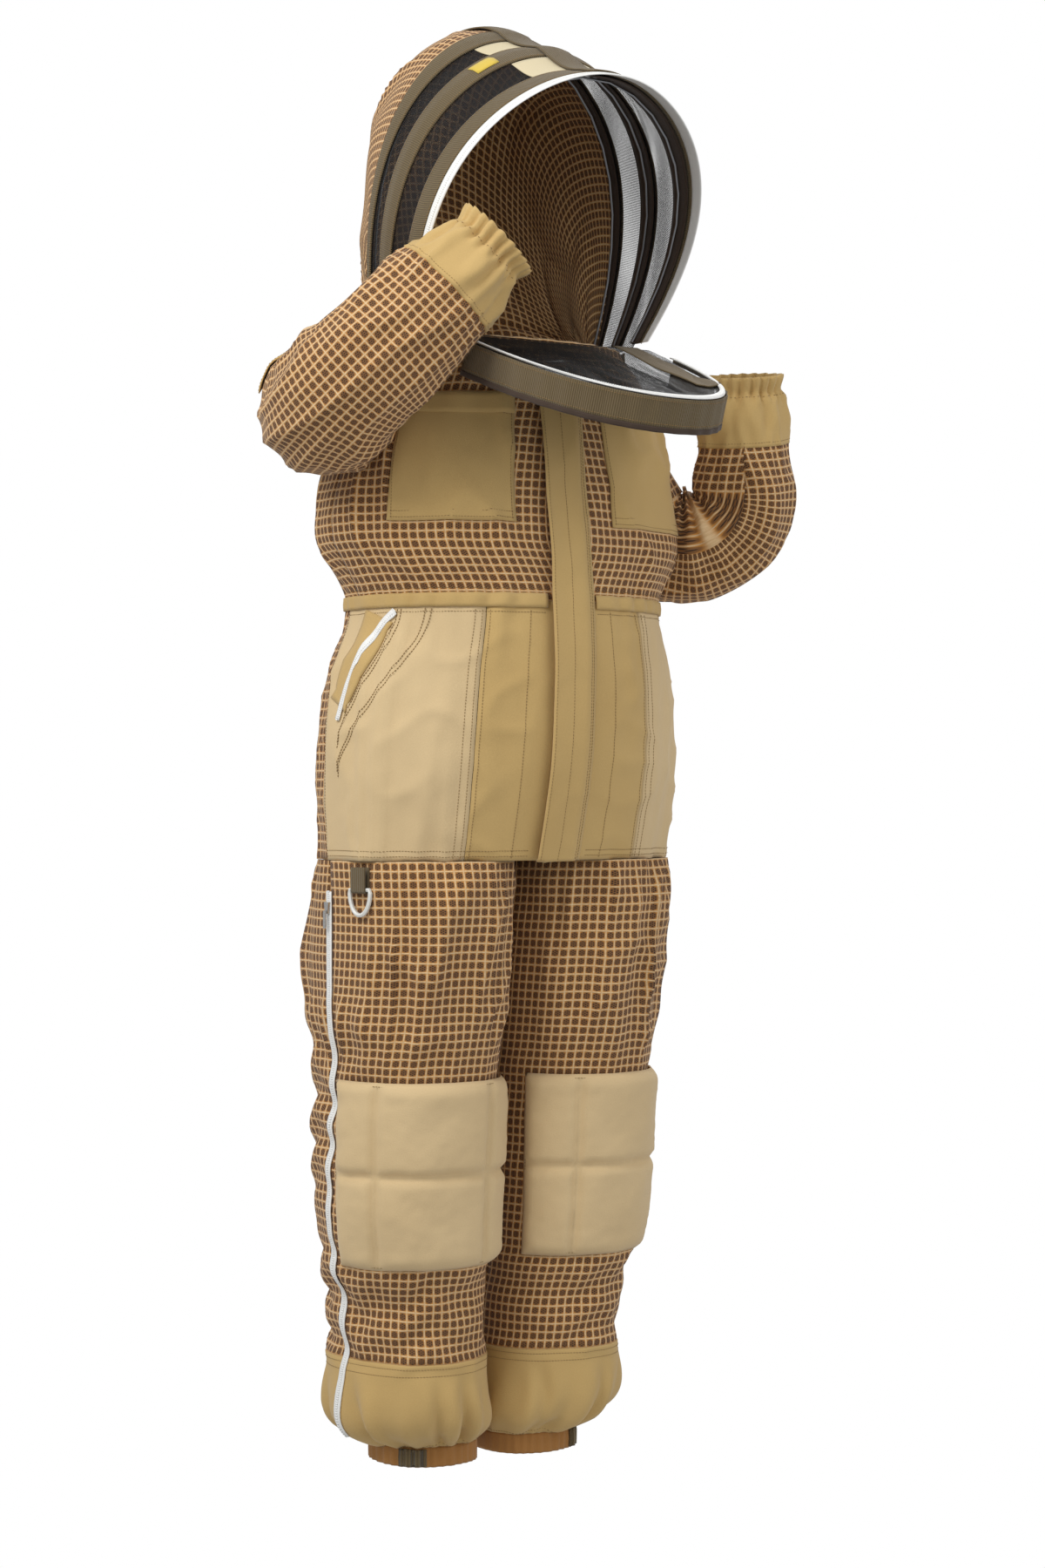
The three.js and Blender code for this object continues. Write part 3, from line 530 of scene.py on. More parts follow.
def blocks(
    name: str,
    skin: Skin,
    routes: Sequence[Sequence[Tuple[float, float]]],
    pitch: float,
    size: Tuple[float, float, float],
    lift: float,
) -> bpy.types.Object:
    """A row of small raised blocks along routes: stitches or zip teeth.

    Args:
        name: the object's name.
        skin: the surface that they lie on.
        routes: runs of points (u, v).
        pitch: spacing.
        size: half length along the route, half width and height.
        lift: height of their feet.

    Returns:
        one object with every block.
    """
    all_points, all_faces, count = [], [], 0
    for route in routes:
        u, v = route_on(skin, route, pitch)[:2]
        foot = skin(u, v, np.full(u.shape, lift))
        top = skin(u, v, np.full(u.shape, lift + size[2]))
        along = np.gradient(foot, axis=0)
        along /= np.maximum(np.linalg.norm(along, axis=1, keepdims=True), 1e-9)
        up = top - foot
        side = np.cross(along, up)
        side /= np.maximum(np.linalg.norm(side, axis=1, keepdims=True), 1e-12)
        for k in range(len(u)):
            taper = np.where(BLOCK[:, 2:] > 0, 0.75, 1.0)
            points = foot[k] + BLOCK[:, :1] * taper * size[0] * along[k]
            points = points + BLOCK[:, 1:2] * taper * size[1] * side[k] + BLOCK[:, 2:] * up[k]
            all_points.append(points)
            all_faces.append(BLOCK_FACES + count)
            count += 8
    return new_object(name, np.concatenate(all_points), np.concatenate(all_faces))


def dress(obj: bpy.types.Object, body: str, slot: str, replaces: Sequence[str] = ()) -> bpy.types.Object:
    """Gives a finished object its finish, its body and the plain nodes that it stands for.

    Args:
        obj: the object.
        body: the body that it moves with.
        slot: the material slot's name.
        replaces: plain nodes that it replaces.

    Returns:
        the object.
    """
    obj.data.materials.clear()
    obj.data.materials.append(FINISHES[slot])
    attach(obj, body)
    if replaces:
        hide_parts(*replaces)
    return obj


def sew(
    made: Tuple[bpy.types.Object, Cut],
    slot: str,
    replaces: Sequence[str] = (),
    body: str = Body.SUIT.value,
) -> bpy.types.Object:
    """Args:
        made: the cloth and its flat cut.
        slot: the material slot's name.
        replaces: plain nodes that it replaces.
        body: the body that it moves with.

    Returns:
        the cloth.
    """
    obj, cut = made
    dress(obj, body, slot, replaces)
    return obj


def stitch(
    name: str,
    skin: Skin,
    runs: Sequence[Sequence[Tuple[float, float]]],
    lift: float,
    size: Point = STITCH,
    body: str = Body.SUIT.value,
) -> None:
    """Sews rows of visible stitches.

    Args:
        name: the object's name.
        skin: the surface that they lie on.
        runs: rows of points (u, v).
        lift: height of their feet.
        size: half length, half width and height of a stitch.
        body: the body that they move with.
    """
    dress(blocks(name, skin, runs, STITCH_PITCH, size, lift), body, "thread")


# ---- finishes --------------------------------------------------------------------------------


class Nodes:
    """Short ways of joining shader nodes."""

    def __init__(self, name: str) -> None:
        """Starts an empty material.

        Args:
            name: the material's name.
        """
        self.material = bpy.data.materials.new(name)
        self.material.use_nodes = True
        self.tree = self.material.node_tree
        self.tree.nodes.clear()

    def node(self, kind: str, inputs: Optional[dict] = None, **settings) -> bpy.types.Node:
        """Adds a node.

        Args:
            kind: the node's type.
            inputs: socket values or sockets to join, by name or number.
            settings: attributes of the node.

        Returns:
            the node.
        """
        made = self.tree.nodes.new(kind)
        for key, value in settings.items():
            setattr(made, key, value)
        for key, value in (inputs or {}).items():
            if isinstance(value, bpy.types.NodeSocket):
                self.tree.links.new(value, made.inputs[key])
            else:
                made.inputs[key].default_value = value
        return made

    def flat(self) -> bpy.types.NodeSocket:
        """The place on the flat cloth, in metres."""
        return self.node("ShaderNodeUVMap", uv_map="Cloth").outputs[0]

    def place(self) -> bpy.types.NodeSocket:
        """The place in the object's own metres."""
        return self.node("ShaderNodeTexCoord").outputs["Object"]

    def math(self, operation: str, *values, clamp: bool = False) -> bpy.types.NodeSocket:
        """The result of a math node on values."""
        made = self.node("ShaderNodeMath", dict(enumerate(values)), operation=operation, use_clamp=clamp)
        return made.outputs[0]

    def step(self, value: bpy.types.NodeSocket, low: float, high: float) -> bpy.types.NodeSocket:
        """0 below low and 1 above high, smoothly between; falls instead when low is above high."""
        made = self.node(
            "ShaderNodeMapRange",
            {"Value": value, "From Min": low, "From Max": high, "To Min": 0.0, "To Max": 1.0},
            interpolation_type="SMOOTHSTEP",
        )
        return made.outputs["Result"]

    def mix(self, share, first, second) -> bpy.types.NodeSocket:
        """A colour between first and second."""
        made = self.node("ShaderNodeMix", {0: share, 6: first, 7: second}, data_type="RGBA")
        return made.outputs[2]

    def noise(self, vector: bpy.types.NodeSocket, scale: float, detail: float = 3.0) -> bpy.types.NodeSocket:
        """A noise of the given scale."""
        return self.node("ShaderNodeTexNoise", {"Vector": vector, "Scale": scale, "Detail": detail}).outputs[0]

    def bump(self, height: bpy.types.NodeSocket, distance: float, strength: float = 1.0) -> bpy.types.NodeSocket:
        """A bump normal."""
        made = self.node("ShaderNodeBump", {"Height": height, "Distance": distance, "Strength": strength})
        return made.outputs[0]

    def finish(self, shader: bpy.types.NodeSocket) -> bpy.types.Material:
        """Joins the output and gives back the material."""
        self.node("ShaderNodeOutputMaterial", {"Surface": shader})
        return self.material


def colour(red: int, green: int, blue: int) -> Tuple[float, float, float, float]:
    """A screen colour as linear values with full alpha."""
    line = [c / 255 for c in (red, green, blue)]
    return tuple(c / 12.92 if c <= 0.04045 else ((c + 0.055) / 1.055) ** 2.4 for c in line) + (1.0,)


@dataclass(frozen=True)
class MeshFinish:
    """Three-layer mesh: a pale woven grid over an ochre ground with clusters of small vent holes.

    Attributes:
        pitch: of the grid.
        line: half width of the grid's lines.
        ring: radius at which six of a cluster's seven holes lie.
        hole: radius of a hole.
        ground: darker and lighter colour of the ground.
        thread: darker and lighter colour of the grid.
        spot: colour round the holes.
        dark: painted shade in the holes, standing in for the shaded layers under them.
    """

    pitch: float = 0.0100
    line: float = 0.0009
    ring: float = 0.0024
    hole: float = 0.00080
    ground: Tuple[Shade, Shade] = ((190, 126, 52), (216, 154, 76))
    thread: Tuple[Shade, Shade] = ((176, 128, 70), (255, 232, 188))
    spot: Shade = (120, 80, 42)
    # Painted shade: the near-black colour of the vent holes, for the shaded layers seen through them.
    dark: Shade = (40, 24, 12)

    def build(self, name: str) -> bpy.types.Material:
        """The material called name."""
        n = Nodes(name)
        uv = n.flat()
        place = n.place()
        split = n.node("ShaderNodeSeparateXYZ", {0: uv})
        local = []
        for axis in (0, 1):
            cell = n.math("FRACT", n.math("DIVIDE", split.outputs[axis], self.pitch))
            local.append(n.math("MULTIPLY", n.math("SUBTRACT", cell, 0.5), self.pitch))
        x, y = local
        half = self.pitch / 2
        edge = n.math("SUBTRACT", half, n.math("MAXIMUM", n.math("ABSOLUTE", x), n.math("ABSOLUTE", y)))
        grid = n.step(edge, self.line * 1.5, self.line * 0.5)
        radius = n.math("SQRT", n.math("ADD", n.math("MULTIPLY", x, x), n.math("MULTIPLY", y, y)))
        third = [n.math("POWER", n.math("ABSOLUTE", axis), 3.0) for axis in local]
        square = n.math("POWER", n.math("ADD", *third), 1 / 3)
        spot = n.step(square, self.ring + 0.0019, self.ring + 0.0010)
        worn = n.math("ADD", 0.72, n.math("MULTIPLY", n.noise(place, 60.0), 0.5))
        grid = n.math("MULTIPLY", grid, n.math("MINIMUM", worn, 1.0))
        turn = n.math("ARCTAN2", y, x)
        sixth = math.pi / 3
        fold = n.math("SUBTRACT", n.math("FLOORED_MODULO", turn, sixth), sixth / 2)
        hx = n.math("SUBTRACT", n.math("MULTIPLY", radius, n.math("COSINE", fold)), self.ring)
        hy = n.math("MULTIPLY", radius, n.math("SINE", fold))
        outer = n.math("SQRT", n.math("ADD", n.math("MULTIPLY", hx, hx), n.math("MULTIPLY", hy, hy)))
        hole = n.step(n.math("MINIMUM", outer, radius), self.hole * 1.25, self.hole * 0.75)
        tone = n.noise(place, 9.0)
        ground = n.mix(tone, *(colour(*shade) for shade in self.ground))
        ground = n.mix(n.math("MULTIPLY", spot, 0.88), ground, colour(*self.spot))
        # Painted shade: the holes are darkened to near black, standing in for the shaded layers under them.
        ground = n.mix(n.math("MULTIPLY", hole, 0.85), ground, colour(*self.dark))
        thread = n.mix(n.noise(uv, 420.0), *(colour(*shade) for shade in self.thread))
        base = n.mix(n.math("MULTIPLY", grid, 0.88), ground, thread)
        height = n.math("SUBTRACT", n.math("MULTIPLY", grid, 0.8), n.math("MULTIPLY", hole, 1.0))
        height = n.math("ADD", height, n.math("MULTIPLY", n.noise(uv, 1400.0), 0.25))
        normal = n.bump(height, 0.0009, 0.9)
        shader = n.node(
            "ShaderNodeBsdfPrincipled",
            {"Base Color": base, "Roughness": 0.86, "Sheen Weight": 0.12, "Sheen Roughness": 0.5, "Normal": normal},
        )
        return n.finish(shader.outputs[0])


@dataclass(frozen=True)
class WovenFinish:
    """Woven cloth: canvas, elastic or tape.

    Attributes:
        low: darker colour.
        high: lighter colour.
        threads: threads per metre.
        ribs: ribs per metre across the length, or 0.
        rough: roughness.
    """

    low: Shade
    high: Shade
    threads: float = 1500.0
    ribs: float = 0.0
    rough: float = 0.88

    def build(self, name: str) -> bpy.types.Material:
        """The material called name."""
        n = Nodes(name)
        uv = n.flat()
        place = n.place()
        split = n.node("ShaderNodeSeparateXYZ", {0: uv})
        turn = 2 * math.pi
        warp = n.math("SINE", n.math("MULTIPLY", split.outputs[0], self.threads * turn / 2))
        weft = n.math("SINE", n.math("MULTIPLY", split.outputs[1], self.threads * turn / 2))
        weave = n.math("MULTIPLY", warp, weft)
        fine = n.noise(uv, 700.0)
        tone = n.math("ADD", n.math("MULTIPLY", n.noise(place, 7.0), 0.6), n.math("MULTIPLY", fine, 0.4))
        height = n.math("ADD", n.math("MULTIPLY", weave, 0.25), fine)
        if self.ribs:
            rib = n.math("SINE", n.math("MULTIPLY", split.outputs[0], self.ribs * turn))
            height = n.math("ADD", height, n.math("MULTIPLY", rib, 1.6))
            tone = n.math("ADD", n.math("MULTIPLY", tone, 0.6), n.math("MULTIPLY", rib, 0.22))
        base = n.mix(n.math("ADD", tone, 0.0, clamp=True), colour(*self.low), colour(*self.high))
        shader = n.node(
            "ShaderNodeBsdfPrincipled",
            {
                "Base Color": base,
                "Roughness": self.rough,
                "Sheen Weight": 0.15,
                "Normal": n.bump(height, 0.00035, 0.8),
            },
        )
        return n.finish(shader.outputs[0])


@dataclass(frozen=True)
class VeilFinish:
    """Fine see-through mesh.

    Attributes:
        pitch: of the threads.
        cover: share of the area that threads cover.
    """

    pitch: float = 0.0016
    cover: float = 0.50

    def build(self, name: str) -> bpy.types.Material:
        """The material called name."""
        n = Nodes(name)
        uv = n.flat()
        split = n.node("ShaderNodeSeparateXYZ", {0: uv})
        open_share = math.sqrt(1 - self.cover) / 2
        masks = []
        for axis in (0, 1):
            cell = n.math("FRACT", n.math("DIVIDE", split.outputs[axis], self.pitch))
            away = n.math("ABSOLUTE", n.math("SUBTRACT", cell, 0.5))
            masks.append(n.step(away, open_share - 0.06, open_share + 0.06))
        thread = n.math("MAXIMUM", *masks)
        cloth_shader = n.node(
            "ShaderNodeBsdfPrincipled",
            {"Base Color": colour(30, 29, 29), "Roughness": 0.62, "Specular IOR Level": 0.35},
        )
        clear = n.node("ShaderNodeBsdfTransparent")
        mixed = n.node("ShaderNodeMixShader", {0: thread, 1: clear.outputs[0], 2: cloth_shader.outputs[0]})
        return n.finish(mixed.outputs[0])


@dataclass(frozen=True)
class SolidFinish:
    """Plastic, nylon or metal with slight wear.

    Attributes:
        shade: colour.
        rough: roughness.
        metal: metalness.
    """

    shade: Shade
    rough: float = 0.4
    metal: float = 0.0

    def build(self, name: str) -> bpy.types.Material:
        """The material called name."""
        n = Nodes(name)
        place = n.place()
        grain = n.noise(place, 160.0)
        shade = colour(*self.shade)
        dull = tuple(c * 0.86 for c in shade[:3]) + (1.0,)
        rough = n.math("ADD", n.math("MULTIPLY", grain, 0.16), self.rough - 0.08)
        shader = n.node(
            "ShaderNodeBsdfPrincipled",
            {
                "Base Color": n.mix(grain, dull, shade),
                "Metallic": self.metal,
                "Roughness": rough,
                "Normal": n.bump(grain, 0.0001, 0.4),
            },
        )
        return n.finish(shader.outputs[0])


FINISH_PLAN = {
    "ventilated_mesh": MeshFinish(),
    "khaki_canvas": WovenFinish((182, 148, 88), (214, 182, 120)),
    "tan_canvas": WovenFinish((202, 174, 128), (228, 202, 156)),
    "webbing": WovenFinish((92, 76, 48), (134, 116, 80), ribs=420.0),
    "black_veil": VeilFinish(),
    "white_zip": WovenFinish((232, 232, 228), (254, 254, 252), threads=1200.0, rough=0.6),
    "ankle_elastic": WovenFinish((150, 100, 46), (182, 130, 68)),
    "white_plastic": SolidFinish((232, 232, 226), 0.35),
    "zip_metal": SolidFinish((206, 206, 204), 0.28, 1.0),
    "spring_wire": SolidFinish((150, 152, 156), 0.35, 1.0),
    "thread": WovenFinish((120, 92, 50), (158, 126, 76), threads=2400.0),
    "yellow_tag": WovenFinish((206, 176, 60), (228, 200, 90)),
    "cream_cloth": WovenFinish((206, 190, 150), (228, 214, 180)),
    "dark_lining": WovenFinish((52, 38, 28), (74, 56, 42)),
}
FINISHES: dict = {}


# ---- torso -----------------------------------------------------------------------------------


CROTCH, WAIST, NECK = 0.690, 0.977, 1.262


@dataclass
class TorsoSizes:
    """Heights and angles of the torso, in metres and degrees from the front."""

    crotch: float = CROTCH
    waist: float = WAIST
    band: float = 0.016
    neck: float = NECK
    gap: float = 0.0005
    zip_edge: float = 4.0
    hip_seam: float = 30.0
    hip_back: float = 100.0
    pocket_low: float = 1.063
    pocket_high: float = 1.208
    pocket_inner: float = 15.0
    pocket_outer: float = 60.0


TORSO_ROWS = [
    [690, 210, 115, 171], [745, 213, 131, 168], [800, 215, 143, 163], [900, 206, 150, 146], [977, 188, 147, 114],
    [1050, 222, 138, 140], [1130, 212, 128.5, 145], [1200, 190, 120, 130], [1240, 170, 115, 112], [1262, 154, 104, 100],
]
TORSO_POWER = 0.9


def torso_base(u: Array, z: Array) -> Array:
    """The torso's plain surface at angle u in degrees and height z."""
    width, front, back = (c * MM for c in smooth_rows(TORSO_ROWS, z / MM))
    s, c = np.sin(np.radians(u)), np.cos(np.radians(u))
    y = -np.where(c > 0, front, back) * signed_power(c, TORSO_POWER)
    return join(width * signed_power(s, TORSO_POWER), y, z + 0 * u)


def torso_relief(u: Array, z: Array) -> Array:
    """Folds of the torso: gathers at the waistband, a bloused chest and pulls from the raised arm."""
    a = np.radians(u)
    ring = join(np.cos(a), np.sin(a))
    upper = rise(z, 0.985, 1.03)
    lower = 1 - rise(z, 0.93, 0.969)
    wander = NOISE(about(ring, 2, z * 9))
    gather = np.cos(a * 34 + wander * 3.0) * 0.6 + np.cos(a * 21 + wander * 4.0) * 0.4
    waist = np.exp(-np.abs(z - WAIST) / 0.045)
    height = 0.0036 * gather * waist * (0.45 + 0.55 * np.cos(a - 2.6) ** 2)
    sag = NOISE(about(ring, 1.6, z * 13))
    height = height + 0.006 * sag * upper * (1 - rise(z, 1.2, 1.26))
    pull = ridge(about(ring, 3, z * 5, z * 4.5))
    height = height + 0.0065 * (pull - 0.35) * upper * (1 - rise(z, 1.21, 1.26))
    drape = ridge(about(ring, 4.2, z * 2.6 + 9), 2.0)
    height = height + 0.0048 * (drape - 0.3) * lower * (0.35 + 0.65 * rise(np.abs(u), 25, 60))
    cross = ridge(about(ring, 2.4, z * 15, 0.0, 5), 2.6)
    height = height + 0.0026 * (cross - 0.3) * lower
    fine = NOISE(about(ring, 9, z * 40))
    calm = 0.3 + 0.7 * rise(np.abs(np.mod(u + 180, 360) - 180), 6, 22)
    return (height + 0.0009 * fine) * calm


TORSO = Skin(torso_base, torso_relief, 0.4, 0.0012)


def inside_torso(points: Array, deep: float) -> Array:
    """Which points lie deeper than deep inside the torso."""
    x, y, z = points.T
    width, front, back = (c * MM for c in smooth_rows(TORSO_ROWS, z / MM))
    depth = np.where(y < 0, front, back)
    outline = np.abs(x / (width - deep)) ** (2 / TORSO_POWER) + np.abs(y / (depth - deep)) ** (2 / TORSO_POWER)
    return (outline < 1) & (z < NECK + 0.0015)


# ---- sleeves ---------------------------------------------------------------------------------


class SleeveLine:
    """A sleeve's centre line: from the shoulder, round the crook of the elbow, to the wrist, in one plane."""

    def __init__(self, shoulder: Point, elbow: Point, wrist: Point, radius: float, turn: float) -> None:
        """Lays the line out.

        Args:
            shoulder: start.
            elbow: point that the crook turns about.
            wrist: end.
            radius: of the sleeve at the elbow.
            turn: radius of the bend.
        """
        self.shoulder, self.elbow, self.wrist = (np.array(p) * MM for p in (shoulder, elbow, wrist))
        self.radius, self.turn = radius * MM, turn * MM
        to_shoulder, to_wrist = self.shoulder - self.elbow, self.wrist - self.elbow
        self.x = to_shoulder / np.linalg.norm(to_shoulder)
        y = to_wrist - self.x * (to_wrist @ self.x)
        self.y = y / np.linalg.norm(y)
        wrist_angle = math.atan2(to_wrist @ self.y, to_wrist @ self.x)
        self.start = -math.acos(self.turn / np.linalg.norm(to_shoulder))
        self.end = wrist_angle + math.acos(self.turn / np.linalg.norm(to_wrist)) - 2 * math.pi
        self.arc_start, self.arc_end = self.on_arc(self.start), self.on_arc(self.end)
        self.binormal = -np.cross(self.x, self.y)
        self.lengths = [
            float(np.linalg.norm(self.arc_start - self.shoulder)),
            self.turn * (self.start - self.end),
            float(np.linalg.norm(self.wrist - self.arc_end)),
        ]
        self.total = sum(self.lengths)
        self.cuff = self.total - 0.078
        r = radius
        t = [v / MM for v in (self.lengths[0], self.lengths[0] + self.lengths[1], self.cuff, self.total)]
        self.radii = [[-1, r - 2], [t[0] + 1, r], [t[1], r - 2], [t[2], 0.84 * r], [t[3] - 18, 46], [t[3], 42]]

    def radial(self, angle: Array) -> Array:
        """Direction away from the crook at an angle."""
        angle = np.asarray(angle, float)
        return np.cos(angle)[..., None] * self.x + np.sin(angle)[..., None] * self.y

    def on_arc(self, angle: Array) -> Array:
        """Point of the bend at an angle."""
        return self.elbow + self.radial(angle) * self.turn

    def frame(self, s: Array) -> Tuple[Array, Array]:
        """Centre and outward direction at a distance along the line."""
        first, second, third = self.lengths
        angle = self.start - np.clip(s - first, 0, second) / self.turn
        centre = self.on_arc(angle)
        before = self.shoulder + (self.arc_start - self.shoulder) * (s / first)[..., None]
        after = self.arc_end + (self.wrist - self.arc_end) * ((s - first - second) / third)[..., None]
        centre = np.where((s < first)[..., None], before, centre)
        centre = np.where((s > first + second)[..., None], after, centre)
        return centre, self.radial(angle)

    def base(self, psi: Array, s: Array) -> Array:
        """The sleeve's plain surface at angle psi in degrees round it and distance s along it."""
        centre, out = self.frame(s)
        (radius,) = smooth_rows(self.radii, s / MM)
        a = np.radians(psi)
        across, along = radius * MM * np.cos(a), radius * MM * np.sin(a)
        return centre + across[..., None] * out + along[..., None] * self.binormal

    def relief(self, psi: Array, s: Array) -> Array:
        """Folds of the sleeve: squeezed at the crook, pulled on the outside, gathered at the wrist."""
        a = np.radians(psi)
        ring = join(np.cos(a), np.sin(a))
        bend = self.lengths[0] + self.lengths[1] / 2
        crook = (1 - ring[..., 0]) / 2
        wander = NOISE(about(ring, 1.5, s * 12 + self.turn * 99))
        rolls = np.cos((s - bend) * 2 * math.pi / 0.034 + wander * 3.2 + ring[..., 1] * 1.4)
        height = 0.0042 * rolls * bell(s, bend, 0.065) * (0.10 + 0.90 * crook)
        pull = ridge(about(ring, 2.0, s * 8, s * 4, s * 5), 1.5)
        height = height + 0.0062 * (pull - 0.35) * rise(s, 0.0, 0.04) * (1 - rise(s, self.cuff, self.total))
        bulge = NOISE(about(ring, 1.2, s * 16 + 3))
        height = height + 0.006 * bulge * (1 - rise(s, self.cuff - 0.03, self.total))
        soft = np.cos(a * 9 + wander * 3.0) * 0.0034 * rise(s, self.cuff, self.cuff + 0.035)
        pleats = np.cos(a * 21 + wander * 2.0) * 0.0040 * rise(s, self.total - 0.036, self.total - 0.020)
        frill = 0.0045 * rise(s, self.total - 0.012, self.total) - 0.0045 * bell(s, self.total - 0.017, 0.006)
        return height + soft * (1 - rise(s, self.total - 0.03, self.total - 0.01)) + pleats + frill

    def skin(self) -> Skin:
        """The sleeve as a skin."""
        return Skin(self.base, self.relief, 1.0, 0.0012, -1.0)

    def inside(self, points: Array, deep: float) -> Array:
        """Which points lie deeper than deep inside the sleeve."""
        s = np.linspace(0.001, self.total, 160)
        centre, _ = self.frame(s)
        (radius,) = smooth_rows(self.radii, s / MM)
        away = np.linalg.norm(points[:, None] - centre[None], axis=2)
        nearest = away.argmin(axis=1)
        return (away.min(axis=1) < radius[nearest] * MM - deep) & (nearest > 0)


SLEEVE_LINES = {
    Side.RIGHT: SleeveLine((-152, 24, 1246), (-204, -62, 1236), (-126, -192, 1360), 70, 77),
    Side.LEFT: SleeveLine((128, 20, 1205), (234, -38, 1122), (272, -96, 1252), 62, 69),
}
HOOD_ROOM = 0.180


@dataclass
class SleevePieces:
    """The cloth of one sleeve.

    Attributes:
        side: which arm.
        cell: mesh cell size.
    """

    side: Side
    cell: float = 0.0046

    def keep(self, points: Array) -> Array:
        """Which points of a sleeve show outside the torso and beside the hood."""
        under_hood = (np.abs(points[:, 0]) < HOOD_ROOM) & (points[:, 2] > 1.2645) & (points[:, 1] > -0.1)
        return ~inside_torso(points, 0.007) & ~under_hood

    def build(self) -> None:
        line = SLEEVE_LINES[self.side]
        skin = line.skin()
        name = self.side.label
        for part, low, high in (("outer", -90.0, 90.0), ("inner", 90.0, 270.0)):
            node = f"sleeve_{name}_{part}"
            sew(
                cloth(
                    f"{node}_cloth", skin, (low, high), (0.0, line.cuff), FLUSH, PANEL_THICK, self.cell,
                    keep=self.keep, ease=1.02,
                ),
                "ventilated_mesh", [node],
            )
        sew(
            cloth(
                f"cuff_{name}_cloth", skin, (-180.0, 180.0), (line.cuff - 0.002, line.total), 0.0008,
                PANEL_THICK, 0.0035, ring=True,
            ),
            "khaki_canvas", [f"cuff_{name}"],
        )
        lines = [level(line.cuff + 0.003, -180, 180, 25)]
        lines.append(level(line.total - 0.022, -180, 180, 25))
        lines.append(upright(-90.0 + 1.2, 0.13, line.cuff - 0.004, 12))
        stitch(f"cuff_{name}_stitching", skin, lines, 0.0007)
        if self.side is Side.RIGHT:
            self.pocket(skin, line)
        LOG.info("sleeve %s done", name)

    def pocket(self, skin: Skin, line: SleeveLine) -> None:
        """Builds the flat pocket on the outer upper sleeve, with its short slanted zip.

        Args:
            skin: the sleeve's skin.
            line: the sleeve's centre line.
        """
        low = line.lengths[0] / 2
        high = line.lengths[0] + line.lengths[1] * 2 / 7
        sew(
            cloth("sleeve_pocket_cloth", skin, (59.7, 149.7), (low, high), 0.0038, TRIM_THICK, 0.005),
            "khaki_canvas", ["sleeve_pocket"],
        )
        route = [(88.0, high - 0.044), (76.0, high - 0.030), (66.0, high - 0.016)]
        sew(ribbon("sleeve_pocket_zip", skin, route, 0.011, 0.0050, 0.001), "white_zip")
        dress(
            blocks("sleeve_pocket_zip_coil", skin, [route], 0.0024, (0.0008, 0.0024, 0.0009), 0.0049),
            Body.SUIT.value, "white_zip",
        )
        corners = [(62.0, low + 0.003), (147.4, low + 0.003), (147.4, high - 0.003), (62.0, high - 0.003)]
        edge = [np.array(c) for c in corners + corners[:1]]
        runs = [[tuple(edge[k] + (edge[k + 1] - edge[k]) * t) for t in np.linspace(0, 1, 7)] for k in range(4)]
        stitch("sleeve_pocket_stitching", skin, runs, 0.0037)


# ---- torso pieces ----------------------------------------------------------------------------


